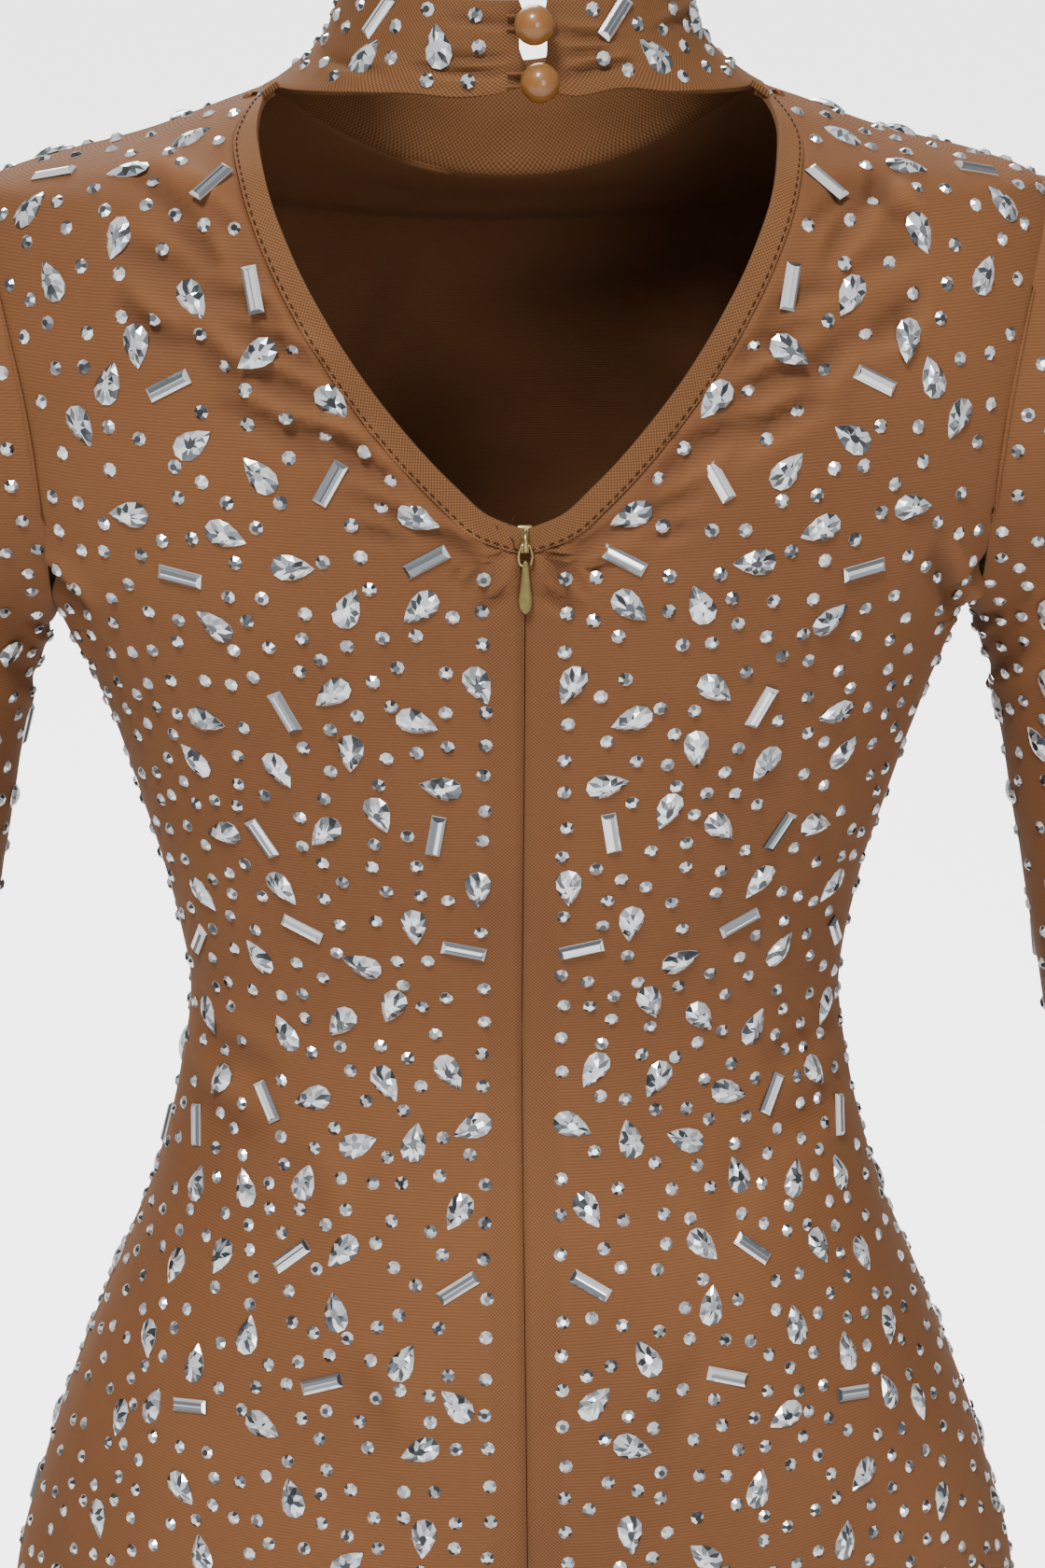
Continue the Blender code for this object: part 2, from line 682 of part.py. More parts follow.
def make_link(hinge):
    """The wire link that hangs from the crown and grips the neck of the pull."""
    half, length, corner = LINK_HALF_WIDTH, LINK_LENGTH, LINK_CORNER
    one_arm = [
        Vector((-half, 0, -length)),
        Vector((-half - corner, 0, -LINK_BELLY_SHARE * length)),
        Vector((-half, 0, -LINK_SHOULDER)),
        Vector((-half + corner, 0, 0)),
    ]
    corners = one_arm + [mirrored(point, -1) for point in reversed(one_arm)]
    mesh = mesh_of_curve("zip_link", rounded_route(corners, 2), LINK_WIRE, 8)
    link = add_object("zip_link", mesh, brass)
    link.parent = hinge
    return link


def make_pull(hinge):
    """The drop-shaped pull, narrow at its neck and widest near its rounded end."""
    half_width_at = curve_through(
        [row.share for row in PULL_WIDTHS], [row.half_width for row in PULL_WIDTHS]
    )
    drop = bmesh.new()
    bmesh.ops.create_uvsphere(drop, u_segments=14, v_segments=14, radius=1.0)
    for vertex in drop.verts:
        share = math.acos(max(min(vertex.co.z, 1.0), -1.0)) / math.pi
        round_place = Vector((vertex.co.x, vertex.co.y))
        if round_place.length > 0:
            round_place.normalize()
        width = half_width_at(share)
        thickness = min(width, PULL_HALF_THICKNESS)
        height = -PULL_NECK - PULL_LENGTH * share
        vertex.co = (round_place.x * width, round_place.y * thickness, height)
    mesh = bpy.data.meshes.new("zip_pull")
    drop.to_mesh(mesh)
    drop.free()
    pull = add_object("zip_pull", mesh, olive)
    pull.parent = hinge
    return pull


for leftover in list(bpy.data.objects):
    bpy.data.objects.remove(leftover)

dress = bpy.data.collections.new("maxi_dress")
cutters = bpy.data.collections.new("cutters")
bpy.context.scene.collection.children.link(dress)
bpy.context.scene.collection.children.link(cutters)

caramel = make_material("caramel_mesh", CARAMEL, 0.8)
dark_caramel = make_material("doubled_mesh", DARK_CARAMEL, 0.8)
amber = make_material("button_amber", BUTTON_AMBER, 0.15)
brass = make_material("zip_brass", BRASS, 0.35, 1.0)
olive = make_material("pull_olive", OLIVE, 0.4, 0.3)

make_front()
make_collar()
for side_name, side_sign in (("left", 1), ("right", -1)):
    make_back("back_" + side_name, side_sign)
    make_sleeve("sleeve_" + side_name, side_sign)
    make_binding("binding_" + side_name, side_sign)
for ball_button in BUTTONS:
    make_button(ball_button)
    make_button_loop(ball_button)
make_tape()
make_slider()
pull_hinge = bpy.data.objects.new("pull_hinge", None)
pull_hinge.location = (0, zip_face() + HINGE_STANDOFF, HINGE_HEIGHT)
dress.objects.link(pull_hinge)
make_link(pull_hinge)
make_pull(pull_hinge)
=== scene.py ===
# %% [markdown]
# # A worn maxi dress, seen from the back
#
# The dress is a close-fitting one in fine power mesh: a high collar with two ball buttons, an open
# keyhole back edged with a doubled band, a zip below it, long sleeves and a scatter of clear stones.
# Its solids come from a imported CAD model. This script dresses them: thin cloth with creases, stitching,
# stones and finishes. Everything is in metres, +Z up, the front faces -Y and the dress's own left is
# +X.
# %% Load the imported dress
import bisect
import json
import math
import random
from collections import namedtuple

import bmesh
import bpy
from mathutils import Matrix, Vector, noise

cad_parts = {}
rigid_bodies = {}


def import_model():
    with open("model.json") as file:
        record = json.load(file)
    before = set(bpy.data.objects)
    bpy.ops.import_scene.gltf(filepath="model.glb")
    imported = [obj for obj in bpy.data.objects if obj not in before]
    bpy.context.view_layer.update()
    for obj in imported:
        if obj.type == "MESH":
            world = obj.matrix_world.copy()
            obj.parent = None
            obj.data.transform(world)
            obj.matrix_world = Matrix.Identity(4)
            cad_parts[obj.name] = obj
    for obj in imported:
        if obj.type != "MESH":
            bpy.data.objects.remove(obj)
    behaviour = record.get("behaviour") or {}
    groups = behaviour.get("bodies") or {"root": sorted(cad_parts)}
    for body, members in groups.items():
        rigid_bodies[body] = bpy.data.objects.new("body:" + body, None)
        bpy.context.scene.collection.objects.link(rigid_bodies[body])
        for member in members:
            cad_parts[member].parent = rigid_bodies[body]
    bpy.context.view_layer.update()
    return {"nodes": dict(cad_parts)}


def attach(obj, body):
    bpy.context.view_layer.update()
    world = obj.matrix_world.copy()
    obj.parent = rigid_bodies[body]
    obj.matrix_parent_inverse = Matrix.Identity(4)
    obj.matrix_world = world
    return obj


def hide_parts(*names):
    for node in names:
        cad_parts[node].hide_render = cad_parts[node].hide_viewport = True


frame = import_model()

# %% [markdown]
# ## Camera
#
# A product close-up is taken from a little above the collar with a longish lens, which keeps the back
# from bulging. The camera could be placed by eye. It is placed here by numbers, because the creases and
# the big stones are charted from the same view further down.
# %% Camera
PICTURE_WIDE, PICTURE_HIGH = 1120, 1680
FOCAL_PIXELS = 3300.0
CAMERA_PLACE = Vector((0.0340, 1.0015, 0.1253))
CAMERA_WAY = Vector((-0.03443, -0.93906, -0.34202)).normalized()

lens = bpy.data.cameras.new("photo_camera")
lens.sensor_fit = "VERTICAL"
lens.sensor_height = 36.0
lens.lens = lens.sensor_height * FOCAL_PIXELS / PICTURE_HIGH
lens.clip_start = 0.01
camera = bpy.data.objects.new("photo_camera", lens)
camera.rotation_mode = "QUATERNION"
camera.location = CAMERA_PLACE
camera.rotation_quaternion = CAMERA_WAY.to_track_quat("-Z", "Y")
bpy.context.scene.collection.objects.link(camera)
bpy.context.scene.camera = camera
view_right = camera.rotation_quaternion @ Vector((1, 0, 0))
view_up = camera.rotation_quaternion @ Vector((0, 1, 0))
print("camera", [round(v, 3) for v in CAMERA_PLACE], "lens", round(lens.lens, 1))

# %% [markdown]
# ## The form under the cloth
#
# A fitted dress stands in the shape that it is cut for. That shape could be sculpted. Here it is a stack
# of level sections, as a dressmaker measures a form: half width, depth behind, depth in front. A smooth
# curve runs through each column, so any height has its own section, and every panel is bent onto it.
# %% Sections of the form
Section = namedtuple("Section", "name height half_width back_depth front_depth front_dip flute")
SECTIONS = (
    Section("collar_top", 0.030, 0.0540, 0.0495, 0.0520, 0.0300, 0.0),
    Section("collar_middle", 0.013, 0.0620, 0.0520, 0.0500, 0.0330, 0.0),
    Section("neck", 0.000, 0.0770, 0.0550, 0.0500, 0.0360, 0.0),
    Section("neck_root", -0.006, 0.0930, 0.0595, 0.0540, 0.0350, 0.0),
    Section("shoulder_slope", -0.015, 0.1180, 0.0670, 0.0620, 0.0320, 0.0),
    Section("shoulder_outer", -0.024, 0.1530, 0.0745, 0.0685, 0.0285, 0.0),
    Section("shoulder_tip", -0.031, 0.1700, 0.0785, 0.0745, 0.0250, 0.0),
    Section("above_armhole", -0.050, 0.1790, 0.0860, 0.0840, 0.0190, 0.0),
    Section("upper_back", -0.080, 0.1840, 0.0935, 0.0940, 0.0120, 0.0),
    Section("shoulder_blades", -0.110, 0.1820, 0.0970, 0.1020, 0.0070, 0.0),
    Section("low_armhole", -0.140, 0.1720, 0.0975, 0.1090, 0.0030, 0.0),
    Section("armpit", -0.172, 0.1525, 0.0945, 0.1140, 0.0, 0.0),
    Section("bust", -0.200, 0.1400, 0.0900, 0.1150, 0.0, 0.0),
    Section("under_bust", -0.240, 0.1277, 0.0825, 0.1060, 0.0, 0.0),
    Section("ribs", -0.278, 0.1185, 0.0745, 0.0970, 0.0, 0.0),
    Section("waist", -0.308, 0.1142, 0.0700, 0.0940, 0.0, 0.0),
    Section("high_hip", -0.347, 0.1197, 0.0770, 0.0970, 0.0, 0.0),
    Section("belly", -0.391, 0.1317, 0.0930, 0.1030, 0.0, 0.0),
    Section("seat_top", -0.440, 0.1520, 0.1110, 0.1060, 0.0, 0.0),
    Section("seat", -0.504, 0.1757, 0.1230, 0.1070, 0.0, 0.0),
    Section("hips", -0.560, 0.1890, 0.1200, 0.1040, 0.0, 0.0),
    Section("thigh", -0.650, 0.1890, 0.1120, 0.0980, 0.0, 0.0),
    Section("above_knee", -0.760, 0.1790, 0.1030, 0.0920, 0.0, 0.0),
    Section("knee", -0.870, 0.1690, 0.0960, 0.0890, 0.0, 0.0005),
    Section("flare_top", -0.980, 0.1710, 0.0980, 0.0930, 0.0, 0.0030),
    Section("shin", -1.100, 0.1890, 0.1170, 0.1150, 0.0, 0.0080),
    Section("ankle", -1.250, 0.2220, 0.1500, 0.1500, 0.0, 0.0130),
    Section("hem", -1.380, 0.2520, 0.1800, 0.1820, 0.0, 0.0160),
)
ROUNDNESS = 2.2
FLUTES = 8
BUST_FULLNESS, BUST_APART, BUST_HEIGHT, BUST_REACH = 0.014, 0.156, -0.195, 0.060
print(len(SECTIONS), "sections from", SECTIONS[0].name, "to", SECTIONS[-1].name)

# %% [markdown]
# A curve through the table must not swing past its points, or the waist would bulge between rows. This
# one keeps its slope between those of its neighbours, as a bent spline of wood does.
# %% Smooth curves through the table
def curve_through(places, values):
    steps = []
    for i in range(len(places) - 1):
        steps.append((values[i + 1] - values[i]) / (places[i + 1] - places[i]))
    slopes = [steps[0]]
    for before, after in zip(steps, steps[1:]):
        turning = before * after <= 0
        slopes.append(0.0 if turning else 2 * before * after / (before + after))
    slopes.append(steps[-1])

    def read(place):
        i = min(max(bisect.bisect_right(places, place) - 1, 0), len(steps) - 1)
        span = places[i + 1] - places[i]
        s = (place - places[i]) / span
        rise = values[i] * (1 + 2 * s) * (1 - s) ** 2 + values[i + 1] * s * s * (3 - 2 * s)
        lean = span * (slopes[i] * s * (1 - s) ** 2 + slopes[i + 1] * s * s * (s - 1))
        return rise + lean

    return read


def column_curve(column):
    rows = sorted(SECTIONS, key=lambda row: row.height)
    return curve_through([row.height for row in rows], [getattr(row, column) for row in rows])


half_width = column_curve("half_width")
back_depth = column_curve("back_depth")
front_depth = column_curve("front_depth")
front_dip = column_curve("front_dip")
flute_depth = column_curve("flute")
print("waist half width", round(half_width(-0.308), 4))

# %% [markdown]
# A place on the form has a turn, in degrees from the centre back towards the dress's left, and a
# height. The section is a little squarer than an ellipse, dips in front at the neck, swells at the bust
# and falls in flutes near the hem.
# %% Points on the form
def swelled(value):
    return math.copysign(abs(value) ** (2 / ROUNDNESS), value)


def turn_at(x, height):
    share = min(abs(x) / half_width(height), 1.0)
    return math.degrees(math.asin(share ** (ROUNDNESS / 2)))


def on_form(turn, height):
    angle = math.radians(turn)
    x = half_width(height) * swelled(math.sin(angle))
    facing_back = swelled(math.cos(angle))
    y = facing_back * (back_depth(height) if facing_back > 0 else front_depth(height))
    facing_front = max(-math.cos(angle), 0.0)
    z = height - front_dip(height) * facing_front**2
    away = (abs(x) - BUST_APART / 2) ** 2 + (z - BUST_HEIGHT) ** 2
    y -= BUST_FULLNESS * facing_front * math.exp(-away / BUST_REACH**2)
    spread = 1 + flute_depth(height) * math.cos(FLUTES * angle) / half_width(height)
    return Vector((x * spread, y * spread, z))


def inward(turn, height, aside=0.5, above=0.0005):
    round_form = on_form(turn + aside, height) - on_form(turn - aside, height)
    up_form = on_form(turn, height + above) - on_form(turn, height - above)
    return round_form.cross(up_form).normalized()


def mixed(first, second, share):
    return first + (second - first) * share


def faded(share):
    share = min(max(share, 0.0), 1.0)
    return 1 - share * share * (3 - 2 * share)


print("centre back at the seat", [round(v, 3) for v in on_form(0, -0.504)])

# %% [markdown]
# ## Reading places from the view
#
# Creases and big stones are easiest to chart as one sees them, across and down the picture. A line of
# sight is followed from the camera until it reaches the form, and that gives the turn and the height.
# %% From the picture to the form
NEAREST, FARTHEST, HALVINGS = 0.60, 1.15, 30


def seen_at(across, down):
    """Turn and height of the place on the back that shows at a place in the picture."""
    aside = (across - PICTURE_WIDE / 2) / FOCAL_PIXELS
    below = (down - PICTURE_HIGH / 2) / FOCAL_PIXELS
    sight = CAMERA_WAY + view_right * aside - view_up * below
    near, far = NEAREST, FARTHEST
    for _ in range(HALVINGS):
        middle = (near + far) / 2
        point = CAMERA_PLACE + sight * middle
        share = min(abs(point.x) / half_width(point.z), 1.0)
        skin = back_depth(point.z) * (1 - share**ROUNDNESS) ** (1 / ROUNDNESS)
        if point.y > skin:
            near = middle
        else:
            far = middle
    return math.copysign(turn_at(point.x, point.z), point.x), point.z


print("zip pull seen at turn and height", [round(v, 3) for v in seen_at(563, 620)])

# %% [markdown]
# ## Creases
#
# Stretched mesh pulls into soft troughs where it is held: from the shoulders towards the keyhole's
# band, round the top of the zip and at the armpits. A cloth simulation would find its own folds. These
# are given one by one instead, each with its own depth, width and bow, so that they lie where they are
# seen, and a ridge runs beside each trough as in real cloth. Here the ends are places across and down the
# picture, and depth, width and bow are millimetres.
# %% The creases of the back, across and down the picture
Crease = namedtuple("Crease", "x1 y1 x2 y2 depth width bow")
BACK_CREASES = (
    Crease(143, 183, 232, 262, 1.7, 5.0, 2.0),
    Crease(188, 196, 252, 250, 1.4, 3.6, 1.5),
    Crease(118, 262, 214, 300, 1.0, 5.5, 1.0),
    Crease(120, 316, 205, 372, 1.7, 5.5, -2.0),
    Crease(190, 352, 262, 432, 1.5, 5.5, 2.0),
    Crease(212, 306, 306, 352, 1.7, 4.0, 2.5),
    Crease(246, 338, 352, 402, 1.1, 4.5, 1.0),
    Crease(232, 392, 356, 446, 1.8, 5.5, 2.5),
    Crease(224, 428, 352, 494, 1.8, 5.0, 2.0),
    Crease(300, 452, 420, 512, 1.2, 4.5, 1.5),
    Crease(348, 478, 436, 528, 1.2, 4.0, 1.0),
    Crease(366, 528, 474, 582, 1.2, 4.0, 1.5),
    Crease(452, 560, 520, 596, 1.0, 3.0, 0.5),
    Crease(484, 604, 538, 640, 1.1, 3.0, -1.0),
    Crease(500, 660, 548, 634, 0.9, 3.0, 0.8),
    Crease(531, 586, 534, 622, 0.8, 2.4, 0.3),
    Crease(178, 238, 240, 292, 1.3, 3.8, 1.5),
    Crease(240, 350, 334, 394, 1.3, 3.6, 1.5),
    Crease(306, 446, 410, 480, 1.5, 3.8, -1.5),
    Crease(378, 566, 440, 586, 1.1, 3.4, 1.0),
    Crease(464, 572, 524, 620, 1.2, 3.4, 1.5),
    Crease(20, 590, 96, 664, 1.6, 6.0, 2.0),
    Crease(10, 636, 70, 690, 1.3, 5.0, 1.0),
    Crease(212, 1100, 300, 1150, 0.8, 8.0, 2.0),
    Crease(198, 1142, 290, 1216, 0.9, 9.0, -2.0),
    Crease(300, 1216, 352, 1330, 0.5, 9.0, 2.0),
    Crease(364, 1440, 424, 1560, 0.5, 8.0, 2.0),
)
ZIP_PUCKERS = (
    Crease(594, 584, 597, 624, 0.9, 2.4, -0.3),
    Crease(578, 634, 626, 646, 0.9, 3.0, -0.6),
    Crease(630, 620, 664, 594, 0.9, 3.2, 0.6),
    Crease(930, 186, 986, 240, 1.5, 4.6, -1.5),
    Crease(1000, 586, 1060, 640, 1.6, 5.5, -1.5),
)
print(len(BACK_CREASES), "creases on each side and", len(ZIP_PUCKERS), "of their own")


# %% [markdown]
# Each crease becomes a line on the cloth. The relief at a point is how far in the cloth goes there: the
# sum of the troughs near it, less the ridges beside them, faded out at both ends.
# %% Relief of a set of creases
RIDGE_HEIGHT, RIDGE_PLACE, CREASE_REACH, END_FADE = 0.6, 1.7, 4, 0.7


def crease_line(x1, y1, x2, y2, depth, width, bow):
    start, end = Vector((x1, y1)), Vector((x2, y2))
    length = (end - start).length
    return start, (end - start) / length, length, depth / 1000, width / 1000, bow / 1000


def relief_of(lines):
    def relief(x, y):
        total = 0.0
        for start, along, length, depth, width, bow in lines:
            dx, dy = x - start.x, y - start.y
            t = (dx * along.x + dy * along.y) / length
            if not 0 < t < 1:
                continue
            off = (dx * along.y - dy * along.x - 4 * bow * t * (1 - t)) / width
            if abs(off) < CREASE_REACH:
                trough = math.exp(-off * off) - RIDGE_HEIGHT * math.exp(-((off - RIDGE_PLACE) ** 2))
                total += depth * math.sin(math.pi * t) ** END_FADE * trough
        return total

    return relief


BACK_STRENGTH, BACK_NARROWING = 1.9, 0.66
OTHER_BACK_SHARE, OTHER_FRONT_SHARE = 0.85, 0.8


def seen_line(crease, mirror=1, strength=1.0):
    ends = []
    for across, down in ((crease.x1, crease.y1), (crease.x2, crease.y2)):
        turn, height = seen_at(across, down)
        ends += [on_form(turn, height).x * mirror, height]
    depth, width = crease.depth * strength * BACK_STRENGTH, crease.width * BACK_NARROWING
    return crease_line(*ends, depth, width, crease.bow * mirror)


back_lines = [seen_line(crease) for crease in BACK_CREASES]
back_lines += [seen_line(crease, -1, OTHER_BACK_SHARE) for crease in BACK_CREASES]
back_lines += [seen_line(crease) for crease in ZIP_PUCKERS]
back_creases = relief_of(back_lines)
print(len(back_lines), "crease lines on the back")

# %% [markdown]
# The front, which this view doesn't show, creases in the same ways: from the armpits towards the bust,
# across the waist and below the hips. The skirt hangs in long shallow falls. Lines are in metres on the
# front, across and up, and in a sleeve round and along it.
# %% Creases of the front, the skirt and the sleeves
FRONT_CREASES = (
    Crease(0.150, -0.165, 0.088, -0.196, 1.8, 6.0, 2.0),
    Crease(0.146, -0.186, 0.096, -0.224, 1.3, 5.0, 1.0),
    Crease(0.072, -0.030, 0.118, -0.098, 1.2, 6.0, -2.0),
    Crease(0.104, -0.046, 0.140, -0.120, 1.0, 5.0, 1.5),
    Crease(0.030, -0.060, 0.066, -0.128, 0.9, 6.0, 2.0),
    Crease(0.112, -0.286, 0.048, -0.304, 1.0, 6.5, 1.0),
    Crease(0.110, -0.318, 0.030, -0.330, 1.1, 7.0, -1.5),
    Crease(0.122, -0.352, 0.066, -0.378, 0.9, 8.0, 2.0),
    Crease(0.160, -0.500, 0.070, -0.556, 0.9, 9.0, 3.0),
    Crease(0.168, -0.560, 0.020, -0.602, 1.1, 9.0, -3.0),
    Crease(0.030, -0.640, 0.074, -0.790, 0.9, 12.0, 3.0),
    Crease(0.110, -0.700, 0.128, -0.900, 1.0, 13.0, -3.0),
)
SLEEVE_CREASES = (
    Crease(0.020, -0.030, 0.072, -0.062, 2.0, 7.0, 2.0),
    Crease(0.104, -0.022, 0.158, -0.052, 1.8, 7.0, -2.0),
    Crease(0.090, -0.060, 0.150, -0.104, 1.5, 7.0, 2.0),
    Crease(0.030, -0.090, 0.090, -0.120, 1.3, 6.0, 2.0),
    Crease(0.160, -0.120, 0.214, -0.150, 1.2, 7.0, -2.0),
    Crease(0.100, -0.236, 0.168, -0.262, 2.0, 6.5, 2.0),
    Crease(0.110, -0.272, 0.176, -0.282, 2.2, 6.0, -1.0),
    Crease(0.094, -0.304, 0.160, -0.292, 1.7, 6.0, 1.0),
    Crease(0.020, -0.262, 0.080, -0.280, 1.2, 7.0, 2.0),
    Crease(0.040, -0.330, 0.100, -0.352, 1.2, 6.5, -2.0),
    Crease(0.030, -0.420, 0.110, -0.436, 1.1, 6.0, 2.0),
    Crease(0.060, -0.466, 0.140, -0.458, 1.3, 5.5, 1.5),
    Crease(0.010, -0.492, 0.090, -0.502, 1.4, 5.0, -1.0),
)


def mirrored_line(crease, strength):
    start, end = (-crease.x1, crease.y1), (-crease.x2, crease.y2)
    return crease_line(*start, *end, crease.depth * strength, crease.width, -crease.bow)


front_lines = [crease_line(*crease) for crease in FRONT_CREASES]
front_lines += [mirrored_line(crease, OTHER_FRONT_SHARE) for crease in FRONT_CREASES]
front_creases = relief_of(front_lines)
sleeve_creases = relief_of([crease_line(*crease) for crease in SLEEVE_CREASES])
print(len(front_lines), "crease lines in front,", len(SLEEVE_CREASES), "in a sleeve")


# %% [markdown]
# No cloth is quite even, so a little noise goes on top of the creases, and long shallow falls start
# below the hips. Creases fade out before they reach a side seam, where two panels have to meet.
# %% Relief anywhere on the body of the dress
FALLS_START, FALLS_REACH, FALL_DEPTH, FALL_TURNS, FALL_STRETCH = -0.62, 0.5, 0.004, 3.1, 0.8
SIDE_SEAM_TURNS = 9
BROAD_DEPTH, BROAD_TURNS, FINE_DEPTH, FINE_TURNS = 0.0005, 22, 0.0003, 60


def uneven(point):
    return BROAD_DEPTH * noise.noise(point * BROAD_TURNS) + FINE_DEPTH * noise.noise(point * FINE_TURNS)


def long_falls(turn, height):
    reach = 1 - faded((FALLS_START - height) / FALLS_REACH)
    angle = math.radians(turn)
    place = Vector((math.sin(angle) * FALL_TURNS, math.cos(angle) * FALL_TURNS, height * FALL_STRETCH))
    return FALL_DEPTH * reach * noise.noise(place)


def off_side_seam(turn):
    return 1 - faded(abs(abs(turn) - 90) / SIDE_SEAM_TURNS)


def crease_depth(turn, height):
    turn = (turn + 180) % 360 - 180
    point = on_form(turn, height)
    creases = back_creases if abs(turn) < 90 else front_creases
    return creases(point.x, height if abs(turn) < 90 else point.z) * off_side_seam(turn)


def on_cloth(turn, height):
    """Outer point of the creased cloth and the direction out of it."""
    turn = (turn + 180) % 360 - 180
    point = on_form(turn, height)
    out = -inward(turn, height)
    depth = crease_depth(turn, height) + uneven(point) * off_side_seam(turn)
    depth += long_falls(turn, height)
    return point - out * depth, out


deepest = max(back_creases(0.06 + i / 1000, -0.06) for i in range(60))
print("deepest trough near the left band, mm", round(deepest * 1000, 2))

# %% [markdown]
# ## Panels
#
# A panel is a flat grid, as the cut cloth is, bent onto the form. Rows run from the shoulder to the
# hem and columns from one seam to the next, so each seam is a whole column. The grid carries a UV map in
# metres, u across and v up, so that the knit has its real scale and follows the cloth.
# %% Sizes that the panels share
CLOTH, DOUBLED_CLOTH, BINDING_PROUD, SEAM_GAP = 0.0012, 0.0020, 0.0004, 0.0003
NECK_EDGE, COLLAR_HEIGHT, SHOULDER_TIP, ARMPIT, HIPS, HEM = -0.0006, 0.030, -0.031, -0.172, -0.560, -1.380
SHOULDER_ROWS, ARMHOLE_ROWS, TORSO_ROWS, SKIRT_ROWS = 4, 12, 14, 11
ARMPIT_ROW = SHOULDER_ROWS + ARMHOLE_ROWS
HIPS_ROW = ARMPIT_ROW + TORSO_ROWS
HEM_ROW = HIPS_ROW + SKIRT_ROWS
ARMHOLE_BOW = 0.009
BINDING_WIDTH = 0.0080
ZIP_PARTING, PARTING_END = 0.0013, -0.1440
SKIRT_SEAM_TOP, SKIRT_SEAM_FADE, SKIRT_SEAM_SHARE = -0.80, 0.30, 0.1
EDGE_EASE = 1.5
EdgePoint = namedtuple("EdgePoint", "name x height")
KEYHOLE_EDGE = (
    EdgePoint("at_collar", 0.0735, 0.0002),
    EdgePoint("top_corner", 0.0790, -0.0030),
    EdgePoint("widest", 0.0805, -0.0090),
    EdgePoint("upper_side", 0.0765, -0.0240),
    EdgePoint("side", 0.0678, -0.0450),
    EdgePoint("lower_side", 0.0532, -0.0700),
    EdgePoint("slope", 0.0385, -0.0897),
    EdgePoint("low_slope", 0.0221, -0.1078),
    EdgePoint("above_zip", 0.0110, -0.1178),
    EdgePoint("at_zip", 0.0013, -0.1218),
)


def armhole_turn(height):
    if not ARMPIT < height < SHOULDER_TIP:
        return 90.0
    share = (SHOULDER_TIP - height) / (SHOULDER_TIP - ARMPIT)
    x = mixed(half_width(SHOULDER_TIP), half_width(ARMPIT), share)
    return turn_at(x - ARMHOLE_BOW * math.sin(math.pi * share), height)


def side_height(row):
    if row <= SHOULDER_ROWS:
        return mixed(NECK_EDGE, SHOULDER_TIP, row / SHOULDER_ROWS)
    if row <= ARMPIT_ROW:
        angle = math.pi * (row - SHOULDER_ROWS) / ARMHOLE_ROWS
        return (SHOULDER_TIP + ARMPIT) / 2 + (SHOULDER_TIP - ARMPIT) / 2 * math.cos(angle)
    if row <= HIPS_ROW:
        return mixed(ARMPIT, HIPS, (row - ARMPIT_ROW) / TORSO_ROWS)
    return mixed(HIPS, HEM, (row - HIPS_ROW) / SKIRT_ROWS)


print("rows", HEM_ROW, "side of the hips at", round(side_height(HIPS_ROW), 3))


# %% The keyhole's open edge and the seam beside it
edge_steps = list(range(len(KEYHOLE_EDGE)))
edge_x = curve_through(edge_steps, [point.x for point in KEYHOLE_EDGE])
edge_height = curve_through(edge_steps, [point.height for point in KEYHOLE_EDGE])
WAY_AT_COLLAR, WAY_AT_ZIP = Vector((0.86, -0.51)), Vector((0.0, -1.0))


def seam_beside(row):
    """Seam of the band at a whole row, one band's width outside the open edge, as (x, height)."""
    s = edge_steps[-1] * row / ARMPIT_ROW
    x, height = edge_x(s), edge_height(s)
    before, after = max(s - 0.01, 0.0), min(s + 0.01, edge_steps[-1])
    along = Vector((edge_x(after) - edge_x(before), edge_height(after) - edge_height(before)))
    out = Vector((-along.y, along.x)).normalized()
    if row == 0:
        out = WAY_AT_COLLAR
    if row == ARMPIT_ROW:
        out = WAY_AT_ZIP
    reach = BINDING_WIDTH
    here = on_form(turn_at(x, height), height)
    for _ in range(4):
        seam = (x + out.x * reach, height + out.y * reach)
        there = on_form(turn_at(*seam), seam[1])
        reach *= BINDING_WIDTH / (there - here).length
    return seam


seam_rows = list(range(ARMPIT_ROW + 1))
seam_points = [seam_beside(row) for row in seam_rows]
seam_x = curve_through(seam_rows, [seam[0] for seam in seam_points])
seam_height = curve_through(seam_rows, [seam[1] for seam in seam_points])
print("seam of the band found at", len(seam_points), "rows")


def keyhole_place(row):
    """Open edge and seam of the band at a row, each as (x, height)."""
    s = edge_steps[-1] * row / ARMPIT_ROW
    return (edge_x(s), edge_height(s)), (seam_x(row), seam_height(row))


ZIP_TOP = keyhole_place(ARMPIT_ROW)[1][1]


def centre_place(row):
    """Inner edge of a back panel at a row, as (x, height)."""
    if row <= ARMPIT_ROW:
        return keyhole_place(row)[1]
    if row <= HIPS_ROW:
        height = mixed(ZIP_TOP, HIPS, (row - ARMPIT_ROW) / TORSO_ROWS)
    else:
        height = mixed(HIPS, HEM, (row - HIPS_ROW) / SKIRT_ROWS)
    share = (ZIP_TOP - height) / (ZIP_TOP - PARTING_END)
    seam = SEAM_GAP / 2 * mixed(SKIRT_SEAM_SHARE, 1.0, faded((SKIRT_SEAM_TOP - height) / SKIRT_SEAM_FADE))
    return mixed(seam, ZIP_PARTING, faded(share)), height


print("zip starts at height", round(ZIP_TOP, 4))


# %% [markdown]
# The bend is one function for every panel: a grid from bmesh, each point moved to its place, the lengths
# along it kept as UV, and the depth of the crease there kept as an attribute for painted shade, which later
# darkens the colour in the troughs and lightens it on the ridges. A Solidify modifier gives the cloth its
# thickness inwards, so the outside keeps its size.
# %% Bend a grid into a piece of cloth
SLOPE_SHARE, DEEPEST_SHADED_CREASE = 0.7, 0.0022


